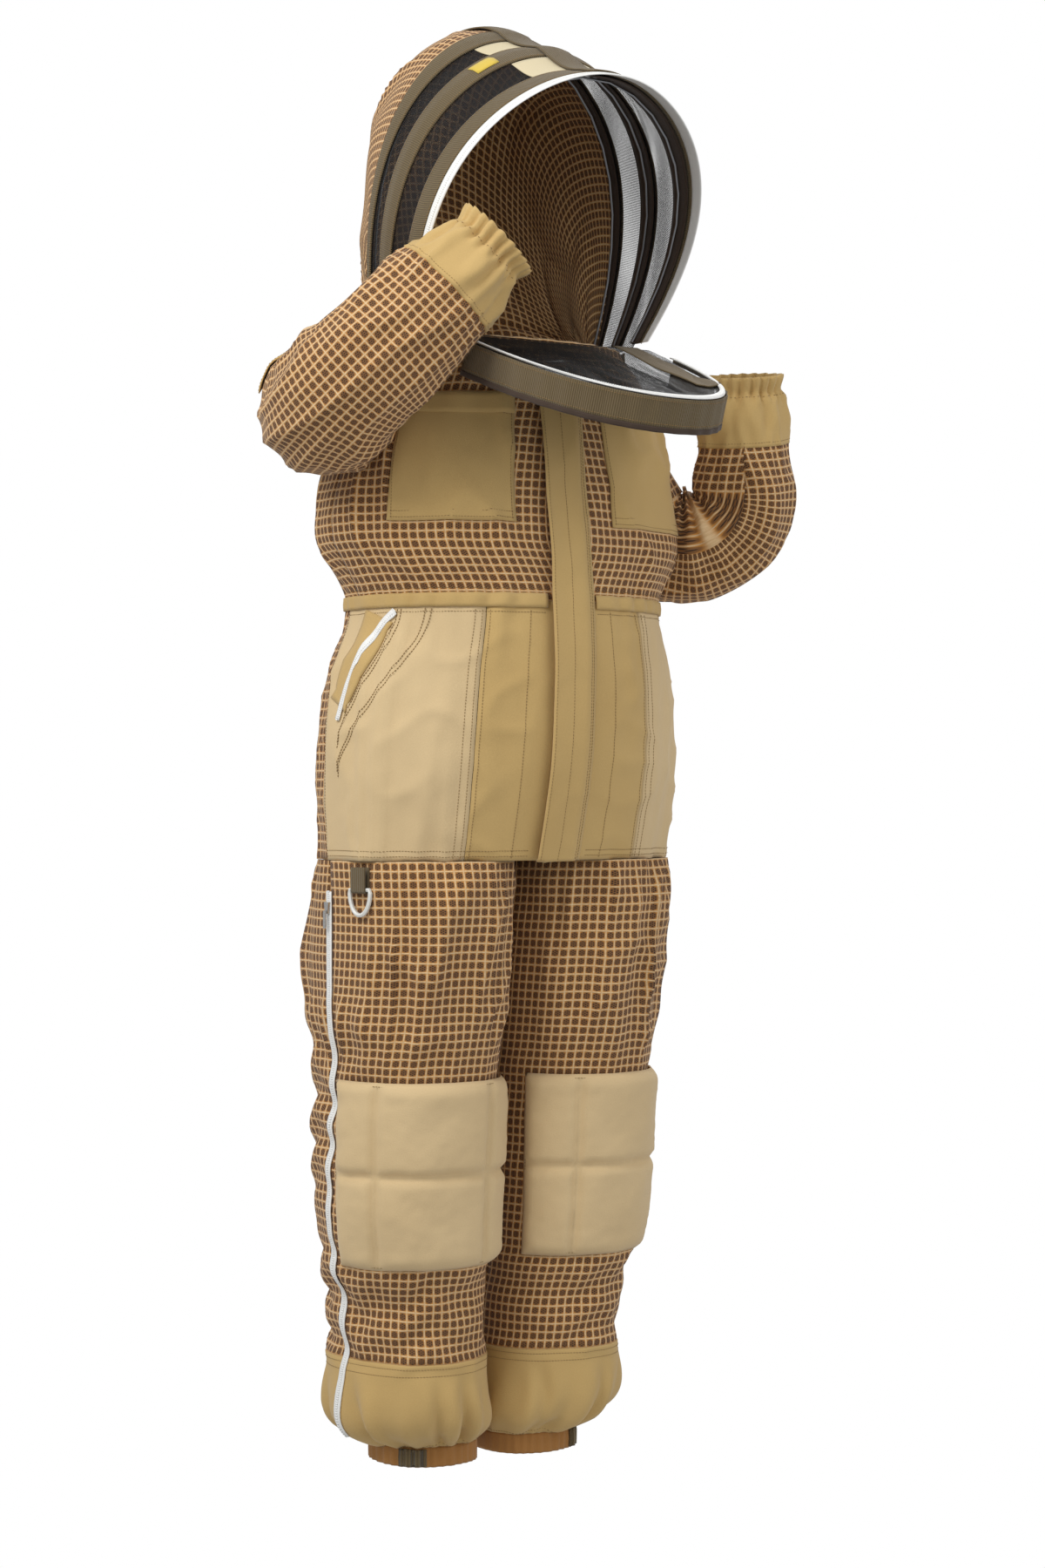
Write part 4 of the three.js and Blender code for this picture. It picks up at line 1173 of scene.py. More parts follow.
@dataclass
class TorsoPieces:
    """Yokes, canvas panels, seat, waistband, chest pockets and collar.

    Attributes:
        sizes: heights and angles.
        cell: mesh cell size.
    """

    sizes: TorsoSizes
    cell: float = 0.0055

    def outside_sleeves(self, points: Array) -> Array:
        """Which points of a yoke lie outside both sleeves."""
        inside = np.zeros(len(points), bool)
        for line in SLEEVE_LINES.values():
            inside |= line.inside(points, 0.005)
        return ~inside

    def panel(
        self, node: str, slot: str, angles: Tuple[float, float], heights: Tuple[float, float], trim: bool = False
    ) -> bpy.types.Object:
        """Builds one panel of the torso.

        Args:
            node: plain node that it replaces.
            slot: its finish.
            angles: run round the body.
            heights: run in height.
            trim: whether the sleeves open it.

        Returns:
            the panel.
        """
        keep = self.outside_sleeves if trim else None
        run = (angles[0] + 0.1, angles[1] - 0.1)
        return sew(
            cloth(f"{node}_cloth", TORSO, run, heights, FLUSH, PANEL_THICK, self.cell, keep=keep, ease=1.02),
            slot, [node],
        )

    def build(self) -> None:
        """Builds every piece of the torso."""
        s = self.sizes
        low = (s.crotch, s.waist - s.gap / 2)
        high = (s.waist + s.gap / 2, s.neck)
        for side in Side:
            sign = side.value
            front = tuple(sorted((sign * s.zip_edge, sign * 90.0)))
            belly = tuple(sorted((sign * s.zip_edge, sign * s.hip_seam)))
            hip = tuple(sorted((sign * s.hip_seam, sign * s.hip_back)))
            self.panel(f"front_yoke_{side.label}", "ventilated_mesh", front, high, trim=True)
            self.panel(f"belly_panel_{side.label}", "khaki_canvas", belly, low)
            self.panel(f"hip_panel_{side.label}", "tan_canvas", hip, low)
            self.pocket(side)
        self.panel("back_yoke", "ventilated_mesh", (90.0, 270.0), high, trim=True)
        self.panel("seat_panel", "ventilated_mesh", (s.hip_back, 360.0 - s.hip_back), low)
        band = (s.waist - s.band / 2, s.waist + s.band / 2)
        sew(
            cloth(
                "waistband_cloth", TORSO, (8.0, 352.0), band, ON_PANEL, TRIM_THICK, 0.0035,
                shape=crowned(0.0012, 1),
            ),
            "khaki_canvas", ["waistband"],
        )
        self.collar()
        self.seams()
        LOG.info("torso done")

    def pocket(self, side: Side) -> None:
        """Builds a chest pocket with a flap-like top hem and its stitches.

        Args:
            side: which chest.
        """
        s = self.sizes
        angles = tuple(sorted((side.value * s.pocket_inner, side.value * s.pocket_outer)))
        node = f"chest_pocket_{side.label}"

        def swell(u: Array, v: Array) -> Array:
            """The pocket's fullness, from shares of its width and height."""
            return 0.0035 * np.sin(math.pi * u) ** 0.7 * np.sin(math.pi * v) ** 0.7

        heights = (s.pocket_low, s.pocket_high)
        sew(
            cloth(
                f"{node}_cloth", TORSO, angles, heights, ON_PANEL, TRIM_THICK, 0.005,
                keep=self.outside_sleeves, shape=swell,
            ),
            "khaki_canvas", [node],
        )
        sew(
            ribbon(
                f"{node}_hem", TORSO,
                [(angles[0] + 0.3, s.pocket_high - 0.012), (angles[1] - 0.3, s.pocket_high - 0.012)],
                0.024, 0.0046, 0.0014,
            ),
            "khaki_canvas",
        )
        inner, outer = angles[0] + 1.2, angles[1] - 1.2
        low, high = s.pocket_low + 0.004, s.pocket_high - 0.003
        runs = [
            [(inner, low), (outer, low)],
            [(inner, low + 0.007), (outer, low + 0.007)],
            [(inner, low), (inner, high)],
            [(outer, low), (outer, high)],
            [(inner, high - 0.022), (outer, high - 0.022)],
        ]
        runs = [[tuple(np.array(a) + (np.array(b) - np.array(a)) * t) for t in np.linspace(0, 1, 9)] for a, b in runs]
        stitch(f"{node}_stitching", TORSO, runs, 0.0026)

    def collar(self) -> None:
        """Builds the standing collar inside the neck edge."""
        neck = self.sizes.neck

        def base(u: Array, z: Array) -> Array:
            """The collar's surface at angle u and height z, leaning in from the neck edge."""
            edge = torso_base(u, np.full(np.shape(z + u), neck))
            flat = edge * np.array([1, 1, 0])
            out = flat / np.linalg.norm(flat, axis=-1, keepdims=True)
            point = edge - out * ((z - neck) * 0.35 + 0.004)[..., None]
            point[..., 2] = z + 0 * u
            return point

        skin = Skin(base, lambda u, z: 0.0008 * np.cos(np.radians(u) * 30), 0.5, 0.001)
        sew(
            cloth(
                "collar_cloth", skin, (-180.0, 180.0), (neck - 0.008, neck + 0.012), 0.0005, 0.0023,
                0.004, ring=True,
            ),
            "ventilated_mesh", ["collar"],
        )
        base_tape = Skin(torso_base, lambda u, z: 0 * u, 0.5, 0.001)
        sew(
            cloth(
                "hood_base_tape_cloth", base_tape, (70.0, 290.0), (neck + 0.0005, neck + 0.014), 0.0005,
                0.002, 0.004,
            ),
            "webbing", ["hood_base_tape"],
        )

    def seams(self) -> None:
        """Lays the stitch rows along the torso's seams."""
        s = self.sizes
        seams = (s.hip_seam + 1.5, s.hip_seam + 4.2, s.hip_back - 1.5, s.hip_seam - 1.5, 14.0)
        heights = (s.waist - 0.013, s.waist + 0.013, s.crotch + 0.005, s.crotch + 0.011)
        runs = []
        for sign in (-1, 1):
            for angle in seams:
                runs.append(upright(sign * angle, s.crotch + 0.004, s.waist - 0.012, 14))
        for sign in (-1, 1):
            for height in heights:
                runs.append(level(height, sign * 99, sign * 9, 20))
        runs.append(level(s.neck - 0.004, 90, 270, 24))
        stitch("torso_stitching", TORSO, runs, 0.0001, (0.0012, 0.0003, 0.00045))


# ---- front closure -----------------------------------------------------------------------------


@dataclass
class Closure:
    """The main zip and the storm flap over it; the zip's slider is the imported part.

    Attributes:
        sizes: heights and angles.
        flap_width: of the storm flap.
        top: top of the zip.
        tunnel: height of the room that the flap leaves over the zip.
    """

    sizes: TorsoSizes
    flap_width: float = 0.060
    top: float = 1.240
    tunnel: float = 0.0063

    def build(self) -> None:
        """Builds the closure."""
        s = self.sizes
        heights = (s.crotch, self.top)
        sew(
            cloth("main_zip_tape", TORSO, (-4.0, 4.0), heights, 0.0012, 0.0009, 0.004),
            "white_zip", ["main_zip"],
        )
        route = upright(0.0, s.crotch + 0.004, self.top - 0.004, 12)
        dress(
            blocks("main_zip_coil", TORSO, [route], 0.0028, (0.0009, 0.0028, 0.0010), 0.0011),
            Body.SUIT.value, "white_zip",
        )
        half = self.flap_width / 2

        def base(x: Array, z: Array) -> Array:
            """The front of the torso at x and height z."""
            width, front, _ = (c * MM for c in smooth_rows(TORSO_ROWS, z / MM))
            share = np.clip(np.abs(x) / width, 0, 0.999) ** (1 / TORSO_POWER)
            y = -front * np.sqrt(1 - share**2) ** TORSO_POWER
            return join(x + 0 * z, y + 0 * x, z + 0 * x)

        def relief(x: Array, z: Array) -> Array:
            """The torso's folds with the flap's tunnel over the zip, open on the wearer's right."""
            over = rise(half - x, 0.004, 0.014)
            ripple = NOISE(join(x * 14, z * 9, 0 * z + 4 + 0 * x))
            angle = np.degrees(np.arcsin(np.clip(x / 0.19, -1, 1)))
            swell = 0.0035 * np.abs(ripple) + 0.002 * rise(-x, 0.0, half)
            return torso_relief(angle, z) + over * (self.tunnel + swell * (1 - rise(z, 1.16, 1.21)))

        skin = Skin(base, relief, 0.001, 0.0012)
        flap_top = self.top - 0.010
        sew(
            cloth("storm_flap_cloth", skin, (-half, half), (s.crotch, flap_top), 0.0016, TRIM_THICK, 0.0045),
            "khaki_canvas", ["storm_flap"],
        )
        runs = []
        for x in (-half + 0.003, half - 0.003, half - 0.010, -half + 0.026):
            runs.append(upright(x, s.crotch + 0.004, flap_top - 0.004, 16))
        runs.append(level(flap_top - 0.004, -half + 0.003, half - 0.003, 5))
        stitch("storm_flap_stitching", skin, runs, 0.0016)
        LOG.info("closure done")


# ---- hips ------------------------------------------------------------------------------------------


@dataclass
class HipTrim:
    """The slanted hip pocket zip with its facing, and the curved stitch lines.

    Attributes:
        width: of the zip strip.
    """

    width: float = 0.009
    route: Tuple[Tuple[float, float], ...] = (
        (-68, 0.965), (-74, 0.948), (-80, 0.925), (-85, 0.899), (-88.5, 0.872), (-90.5, 0.846),
    )

    def build(self) -> None:
        """Builds the pocket's trim."""
        sew(
            ribbon("hip_pocket_zip_tape", TORSO, self.route, self.width, 0.0026, 0.0010),
            "white_zip", ["hip_pocket_zip"],
        )
        dress(
            blocks("hip_pocket_zip_coil", TORSO, [self.route], 0.0024, (0.0008, 0.0022, 0.0009), 0.0025),
            Body.SUIT.value, "white_zip",
        )
        corner = [(-76.0, 0.960), (-79.0, 0.938), (-83.5, 0.912), (-88.0, 0.886), (-91.0, 0.862)]
        sew(ribbon("hip_pocket_facing", TORSO, corner, 0.044, 0.0017, 0.0014, columns=9), "khaki_canvas")
        runs = []
        for low, out in ((0.790, 0.0), (0.784, 2.4), (0.822, -13.0), (0.816, -11.0)):
            bow = [(t, math.sin(t * math.pi / 2) ** 1.3) for t in np.linspace(0, 1, 14)]
            runs.append([(-89.0 + (out + 35.0) * across, low + (0.966 - low) * t**0.8) for t, across in bow])
        stitch("hip_pocket_stitching", TORSO, runs, 0.0004, (0.0013, 0.00045, 0.00055))
        LOG.info("hip trim done")


# ---- legs --------------------------------------------------------------------------------------------


LEG_ROWS = [
    [0, 66, 62, 55, 62], [24, 66, 62, 55, 62], [45, 80, 62, 80, 88], [75, 88, 60, 86, 97], [125, 91, 56, 85, 93],
    [180, 95, 52, 84, 93], [235, 100, 46, 88, 100], [340, 104, 42, 94, 108], [445, 104, 40, 97, 116],
    [500, 104, 36, 99, 125], [600, 105, 31, 101, 136], [689.5, 106, 28, 103, 143],
]
LEG_POWER = 0.88


@dataclass
class LegSurface:
    """One leg's surface, which takes the hips' outline at its top.

    Attributes:
        side: which leg.
        crotch: height where it meets the hips.
        blend: height over which it takes their outline.
    """

    side: Side
    crotch: float = CROTCH
    blend: float = 0.110

    def base(self, u: Array, z: Array) -> Array:
        """The plain surface at angle u in degrees round the leg and height z."""
        cx, cy, half_x, half_y = (c * MM for c in smooth_rows(LEG_ROWS, z / MM))
        s, c = np.sin(np.radians(u)), np.cos(np.radians(u))
        x = self.side.value * cx + half_x * signed_power(s, LEG_POWER)
        y = cy - half_y * signed_power(c, LEG_POWER)
        across = np.sqrt(np.clip(1 - np.minimum(1, np.abs(x) / 0.215) ** (2 / TORSO_POWER), 0, 1))
        reach = across**TORSO_POWER
        share = np.clip(1 - (self.crotch - z) / self.blend, 0, 1)
        held = np.clip(y, -0.115 * reach, 0.171 * reach)
        return join(x, y + (held - y) * share, z + 0 * u)

    def relief(self, u: Array, z: Array) -> Array:
        """Folds: long creases on the thigh, bunching on the shin and pleats above the elastic."""
        a = np.radians(u)
        shift = 3.0 * self.side.value
        ring = join(np.cos(a), np.sin(a))
        wander = NOISE(about(ring, 1.8, z * 6, shift))
        thigh = rise(z, 0.42, 0.52)
        long = ridge(about(ring, 3.4, z * 2.4, shift), 2.0)
        height = 0.0085 * (long - 0.35) * thigh * (1 - 0.6 * rise(z, 0.66, 0.69))
        slant = ridge(about(ring, 2, z * 8, z * 7, shift), 2.2)
        height = height + 0.0055 * (slant - 0.35) * (0.25 + 0.75 * thigh) * (1 - 0.7 * ring[..., 1] ** 6)
        back = (1 - ring[..., 0]) / 2
        hollow = np.cos((z - 0.40) * 2 * math.pi / 0.05 + wander * 3.5) * bell(z, 0.40, 0.10)
        height = height + 0.006 * hollow * back
        shin = rise(z, 0.10, 0.14) * (1 - rise(z, 0.225, 0.30))
        bunch = np.cos((z - 0.12) * 2 * math.pi / 0.055 + wander * 4.5)
        height = height + 0.0050 * bunch * shin * (0.55 + 0.45 * back)
        height = height + 0.0055 * np.sin(z * 2 * math.pi / 0.27 + 1.0) * ring[..., 1] ** 2
        pleat = np.cos(a * 17 + wander * 3.0) * 0.35 + np.cos(a * 9 + wander * 5.0 + 1) * 0.65
        near = rise(0.125 - z, 0.0, 0.075) * rise(z, 0.020, 0.034)
        height = height + 0.0085 * pleat * near
        height = height + 0.0012 * np.cos(a * 36) * (1 - rise(z, 0.022, 0.03))
        roll = NOISE(about(ring, 1.1, z * 7, shift))
        height = height + 0.005 * roll * rise(z, 0.03, 0.1)
        inner = np.clip(-self.side.value * ring[..., 1], 0, 1)
        track = rise(self.side.value * ring[..., 1], 0.80, 0.97) * rise(z, 0.515, 0.545)
        return height * (1 - 0.75 * inner**2) * (1 - 0.94 * track)

    def skin(self) -> Skin:
        """The leg as a skin."""
        return Skin(self.base, self.relief, 0.7, 0.0012)


@dataclass
class LegPieces:
    """Cloth, hem, elastic, zip and ankle tab of one leg.

    Attributes:
        side: which leg.
        cell: mesh cell size.
        hem: top of the canvas hem.
        elastic: top of the ankle elastic.
        knee: lowest and highest line of the knee pad.
        pad_thick: thickness of the knee pad.
    """

    side: Side
    cell: float = 0.0055
    hem: float = 0.125
    elastic: float = 0.024
    knee: Tuple[float, float] = (0.235, 0.445)
    pad_thick: float = 0.009

    def build(self) -> None:
        """Builds every piece of the leg."""
        surface = LegSurface(self.side)
        skin = surface.skin()
        name, sign = self.side.label, self.side.value
        top = surface.crotch - 0.0005
        for part, low, high in (("front", -90.0, 90.0), ("back", 90.0, 270.0)):
            node = f"leg_{part}_{name}"
            sew(
                cloth(
                    f"{node}_cloth", skin, (low + 0.1, high - 0.1), (self.hem, top), FLUSH, PANEL_THICK,
                    self.cell, ease=1.02,
                ),
                "ventilated_mesh", [node],
            )
        sew(
            cloth(
                f"leg_hem_{name}_cloth", skin, (-180.0, 180.0), (self.elastic, self.hem), 0.0008, PANEL_THICK,
                0.0040, ring=True,
            ),
            "khaki_canvas", [f"leg_hem_{name}"],
        )
        sew(
            cloth(
                f"ankle_elastic_{name}_cloth", skin, (-180.0, 180.0), (0.0008, self.elastic), 0.0004,
                PANEL_THICK, 0.0030, ring=True,
            ),
            "ankle_elastic", [f"ankle_elastic_{name}"],
        )
        self.pad(skin)
        self.zip(skin)
        tab = tuple(sorted((sign * 30.0, sign * 60.0)))
        sew(
            cloth(
                f"ankle_tab_{name}_cloth", skin, tab, (0.002, 0.022), 0.0030, 0.0020, 0.003,
                shape=crowned(0.0010),
            ),
            "webbing", [f"ankle_tab_{name}"], body=f"ankle_tab_{name}",
        )
        heights = (self.hem - 0.005, self.hem - 0.013, self.elastic + 0.004)
        runs = [level(height, -180, 180, 37) for height in heights]
        stitch(f"leg_{name}_stitching", skin, runs, 0.0008)
        LOG.info("leg %s done", name)

    def pad(self, skin: Skin) -> None:
        """Builds the padded knee with its channels.

        Args:
            skin: the leg's skin.
        """
        sign, name = self.side.value, self.side.label
        angles = tuple(sorted((sign * 84.0, -sign * 59.0)))
        span = angles[1] - angles[0]
        seams = [(sign * 52.0 - angles[0]) / span, (-sign * 22.0 - angles[0]) / span]
        calm = Skin(skin.base, lambda u, z: skin.relief(u, z) * 0.35, skin.du, skin.dv)

        def puff(u: Array, v: Array) -> Array:
            """The padding's height over the pad, from shares of its width and height."""
            tall = self.knee[1] - self.knee[0]
            edge = np.minimum(np.minimum(u, 1 - u) * span * 0.0017, np.minimum(v, 1 - v) * tall)
            full = 1 - (1 - np.clip(edge / 0.016, 0, 1)) ** 2.2
            channel = np.exp(-(((v - 0.5) * 0.21 / 0.0055) ** 2))
            for place in seams:
                channel = np.maximum(channel, np.exp(-(((u - place) * span * 0.0017 / 0.0050) ** 2)))
            pucker = NOISE(join(u * 7, v * 5, 0 * u + sign)) * 0.0022
            ripple = NOISE(join(u * 30, v * 22, 0 * u + 2 * sign)) * 0.0008
            return self.pad_thick * full * (1 - 0.72 * channel) + pucker * full + ripple * full

        obj, _ = cloth(f"knee_pad_{name}_cloth", calm, angles, self.knee, 0.0034, PANEL_THICK, 0.0042, shape=puff)
        dress(obj, Body.SUIT.value, "tan_canvas", [f"knee_pad_{name}"])
        inset_low, inset_high = angles[0] + 2.0, angles[1] - 2.0
        low, high = self.knee[0] + 0.004, self.knee[1] - 0.004
        runs = [level(z, inset_low, inset_high, 16) for z in (low, high)]
        runs += [upright(u, low, high, 12) for u in (inset_low, inset_high)]
        stitch(f"knee_pad_{name}_edge_stitching", calm, runs, 0.0060)

    def zip(self, skin: Skin) -> None:
        """Builds the outseam zip.

        Args:
            skin: the leg's skin.
        """
        sign, name = self.side.value, self.side.label
        route = upright(sign * 90.0, 0.045, 0.655, 16)
        sew(
            ribbon(f"leg_zip_{name}_tape", skin, route, 0.012, 0.0026, 0.0011),
            "white_zip", [f"leg_zip_{name}"],
        )
        dress(
            blocks(f"leg_zip_{name}_coil", skin, [route], 0.0024, (0.0008, 0.0024, 0.0010), 0.0025),
            Body.SUIT.value, "white_zip",
        )


# ---- hood --------------------------------------------------------------------------------------------


HOOD_ROWS = [
    [-37, -80, 318, 149, 0.3], [-31, -46, 316, 150, 0.3], [-21, -6, 334, 153, 0.3], [-13, 30, 352, 152, 0.24],
    [0, 30, 362, 147, 0.16], [12, 30, 346, 141, 0.1], [22, 30, 292, 139, 0.06], [42, 30, 168, 140, 0.02],
    [65, 30, 106, 148, 0], [90, 30, 72, 152, 0],
]
HOOD_BASE = 1277.2
HOOPS = {"front": -31.0, "middle": -21.0, "rear": -13.0}
HALF_BINDING = 2.109


def hood_base(across: Array, plane: Array) -> Array:
    """The hood's plain surface at an angle across it and the angle of a hoop's plane from upright."""
    foot, height, half_width, bulge = smooth_rows(HOOD_ROWS, plane)
    a, p = np.radians(across), np.radians(plane)
    lift = height * np.cos(a)
    up = lift * np.cos(p)
    swell = 1 + bulge * np.sin(math.pi * np.abs(across) / 90)
    x = half_width * signed_power(np.sin(a), 0.85) * swell - 16 * up / 364
    return join(x, foot + lift * np.sin(p), HOOD_BASE + up) * MM


def hood_relief(across: Array, plane: Array) -> Array:
    """Cloth drawn in between the hoops and softly folded behind them."""
    height = 0 * across + 0 * plane
    for low, high in ((-31.0, -21.0), (-21.0, -13.0)):
        share = np.clip((plane - low) / (high - low), 0, 1)
        height = height - 0.0045 * np.sin(math.pi * share) * np.cos(np.radians(across) * 0.9)
    behind = rise(plane, -12, 8)
    a = np.radians(across)
    fold = ridge(join(np.sin(a) * 2.4, np.radians(plane) * 3.2, np.cos(a) * 2.4), 2.2)
    height = height + 0.007 * (fold - 0.35) * behind
    low_fold = NOISE(join(np.sin(a) * 6, np.radians(plane) * 2.0, np.cos(a) * 3 + 4))
    return height + 0.003 * low_fold * behind


HOOD = Skin(hood_base, hood_relief, 0.6, 0.3)


@dataclass
class HoodPieces:
    """The hooped hood: veil panels, mesh back, bindings, front zip, crest flap and tag.

    Attributes:
        reach: how far the bindings run round, in degrees.
    """

    reach: float = 88.0

    def panel(
        self, name: str, slot: str, planes: Tuple[float, float], nodes: Sequence[str], across: Tuple[float, float],
        lift: float = 0.0, thick: float = 0.0010, cell: float = 0.006,
    ) -> bpy.types.Object:
        """Builds one cloth piece of the hood.

        Args:
            name: the object's name.
            slot: its finish.
            planes: run of hoop planes.
            nodes: plain nodes that it replaces.
            across: run across the hood.
            lift: height of its outer side.
            thick: thickness.
            cell: mesh cell size.

        Returns:
            the piece.
        """
        return sew(
            cloth(name, HOOD, across, planes, lift, thick, cell, ease=1.01),
            slot, nodes, body=Body.HOOD.value,
        )

    def build(self) -> None:
        """Builds every piece of the hood."""
        full = (-89.6, 89.6)
        self.panel("veil_front_cloth", "black_veil", (-31.0, -21.1), ["veil_front"], full)
        self.panel("veil_middle_cloth", "black_veil", (-21.0, -13.1), ["veil_middle"], full)
        self.panel("hood_back_cloth", "ventilated_mesh", (-13.0, 89.4), ["hood_back"], full, 0.0, 0.0016)
        run = (-self.reach, self.reach)
        for name, plane in HOOPS.items():
            planes = (plane - HALF_BINDING, plane + HALF_BINDING)
            self.panel(f"binding_{name}_tape", "webbing", planes, [f"binding_{name}"], run, 0.0021, 0.0016, 0.004)
            inner = (plane - HALF_BINDING * 0.8, plane + HALF_BINDING * 0.8)
            self.panel(f"binding_{name}_lining", "dark_lining", inner, [], run, -0.0016, 0.0010, 0.005)
            runs = [level(plane + away * HALF_BINDING, *run, 40) for away in (-0.85, 0.85)]
            stitch(f"binding_{name}_stitching", HOOD, runs, ON_PANEL, body=Body.HOOD.value)
        self.panel("hood_zip_tape", "white_zip", (-35.1, -33.2), ["hood_zip"], run, 0.0021, 0.0012, 0.003)
        route = level(-34.1, -87, 87, 40)
        dress(
            blocks("hood_zip_coil", HOOD, [route], 0.0026, (0.0009, 0.0024, 0.0010), 0.0020),
            Body.HOOD.value, "white_zip",
        )
        self.crest()
        sew(
            ribbon(
                "binding_middle_tag", HOOD, [(-26.5, -21.0), (-19.5, -21.0)], 0.022, 0.0032, 0.0008,
                columns=4,
            ),
            "yellow_tag", body=Body.HOOD.value,
        )
        LOG.info("hood done")

    def crest(self) -> None:
        """Builds the crest flap and the cream patches under it."""
        sew(
            cloth(
                "crest_flap_cloth", HOOD, (-5.0, 5.0), (-33.1, 0.0), 0.0042, TRIM_THICK, 0.0045,
                shape=crowned(0.0012),
            ),
            "webbing", ["crest_flap"], body=Body.HOOD.value,
        )
        for k, planes in enumerate(((-28.7, -23.3), (-18.7, -15.3))):
            sew(
                cloth(f"crest_patch_{k + 1}", HOOD, (-17.0, 14.0), planes, 0.0012, 0.0010, 0.0045),
                "cream_cloth", body=Body.HOOD.value,
            )


# ---- opened veil ---------------------------------------------------------------------------------------


@dataclass
class VeilPieces:
    """The unzipped front veil, hanging forward from the neck.

    Attributes:
        half: half width.
        reach: from the hinge edge to the tip.
        droop: slope, in degrees.
        hinge: y and z of the hinge.
        band: how far the band hangs below the edge.
    """

    half: float = 0.134
    reach: float = 0.264
    droop: float = 20.0
    hinge: Tuple[float, float] = (-0.1072, 1.270)
    band: float = 0.038

    def sheet(self, across: Array, out: Array) -> Array:
        """The veil's plain surface; across in degrees along the edge, out from the hinge to the edge."""
        a, d = np.radians(across), math.radians(self.droop)
        reach = self.reach * np.maximum(np.cos(a), 0) ** 0.8 * out
        x = self.half * signed_power(np.sin(a), 0.9) + 0 * out
        return join(x, self.hinge[0] - reach * math.cos(d), self.hinge[1] - reach * math.sin(d))

    def sag(self, across: Array, out: Array) -> Array:
        """Soft waves of the veil, fixed at its edge and at the neck."""
        a = np.radians(across)
        free = np.sin(math.pi * np.clip(out, 0, 1) ** 1.6) * np.cos(a)
        wave = NOISE(join(np.sin(a) * 3, out * 3.0 + 2, 0 * a + 0 * out))
        tension = ridge(join(np.sin(a) * 4 + out, out * 1.2, 0 * a + 0 * out + 5), 2.0)
        return -0.006 * free + 0.007 * wave * free + 0.004 * (tension - 0.3) * free

    def edge(self, across: Array, drop: Array) -> Array:
        """The band below the edge; drop grows downwards."""
        point = self.sheet(across, np.ones(np.shape(across + drop)))
        d = math.radians(self.droop)
        x = point[..., 0] * 1.03
        return join(x, point[..., 1] + drop * math.sin(d), point[..., 2] - drop * math.cos(d))

    def build(self) -> None:
        """Builds every piece of the opened veil."""
        veil = Skin(self.sheet, self.sag, 0.5, 0.004, -1.0)
        sew(
            cloth(
                "veil_flap_mesh_cloth", veil, (-80.0, 80.0), (0.01, 0.97), 0.0004, 0.0008, 0.005,
                ease=1.02,
            ),
            "black_veil", ["veil_flap_mesh"], body=Body.VEIL.value,
        )
        sew(
            cloth("veil_flap_doubling", veil, (-78.0, 20.0), (0.02, 0.96), -0.0012, 0.0006, 0.006),
            "black_veil", body=Body.VEIL.value,
        )
        flat = Skin(self.sheet, lambda a, o: 0 * a + 0 * o, 0.5, 0.004, -1.0)
        inner = upright(44.0, 0.03, 0.90, 8)
        sew(
            ribbon("veil_flap_strip", veil, inner, 0.034, 0.0030, 0.0012, columns=9),
            "webbing", body=Body.VEIL.value,
        )
        sew(
            cloth("veil_flap_zip_tape", flat, (-84.0, 84.0), (0.955, 1.005), 0.0020, 0.0014, 0.003),
            "white_zip", ["veil_flap_zip"], body=Body.VEIL.value,
        )
        route = level(0.985, -83, 83, 50)
        dress(
            blocks("veil_flap_zip_coil", flat, [route], 0.0026, (0.0009, 0.0022, 0.0010), 0.0019),
            Body.VEIL.value, "white_zip",
        )
        below = Skin(self.edge, lambda a, d: 0.0006 * np.cos(np.radians(a) * 40), 0.5, 0.0008)
        middle, near = np.array([0.0]), np.array([0.01])
        probe = below(middle, near, near) - below.base(middle, near)
        below.sign = 1.0 if probe[0, 1] < 0 else -1.0
        sew(
            cloth(
                "veil_flap_band_tape", below, (-84.0, 84.0), (0.0006, self.band - 0.005), 0.0016, TRIM_THICK,
                0.0035,
            ),
            "webbing", ["veil_flap_band"], body=Body.VEIL.value,
        )
        sew(
            cloth(
                "veil_flap_band_hem", below, (-84.0, 84.0), (self.band - 0.006, self.band), 0.0020,
                0.0024, 0.0030,
            ),
            "dark_lining", body=Body.VEIL.value,
        )
        runs = [level(away, -83, 83, 50) for away in (0.004, self.band - 0.009)]
        stitch("veil_flap_stitching", below, runs, 0.0016, body=Body.VEIL.value)
        LOG.info("opened veil done")


# ---- hard trim -------------------------------------------------------------------------------------------


HARD_NODES = {
    "zip_metal": ("main_zip_slider", "leg_zip_slider_right", "leg_zip_slider_left"),
    "spring_wire": ("hoop_front", "hoop_middle", "hoop_rear", "veil_flap_hoop"),
    "white_plastic": ("d_ring",),
}


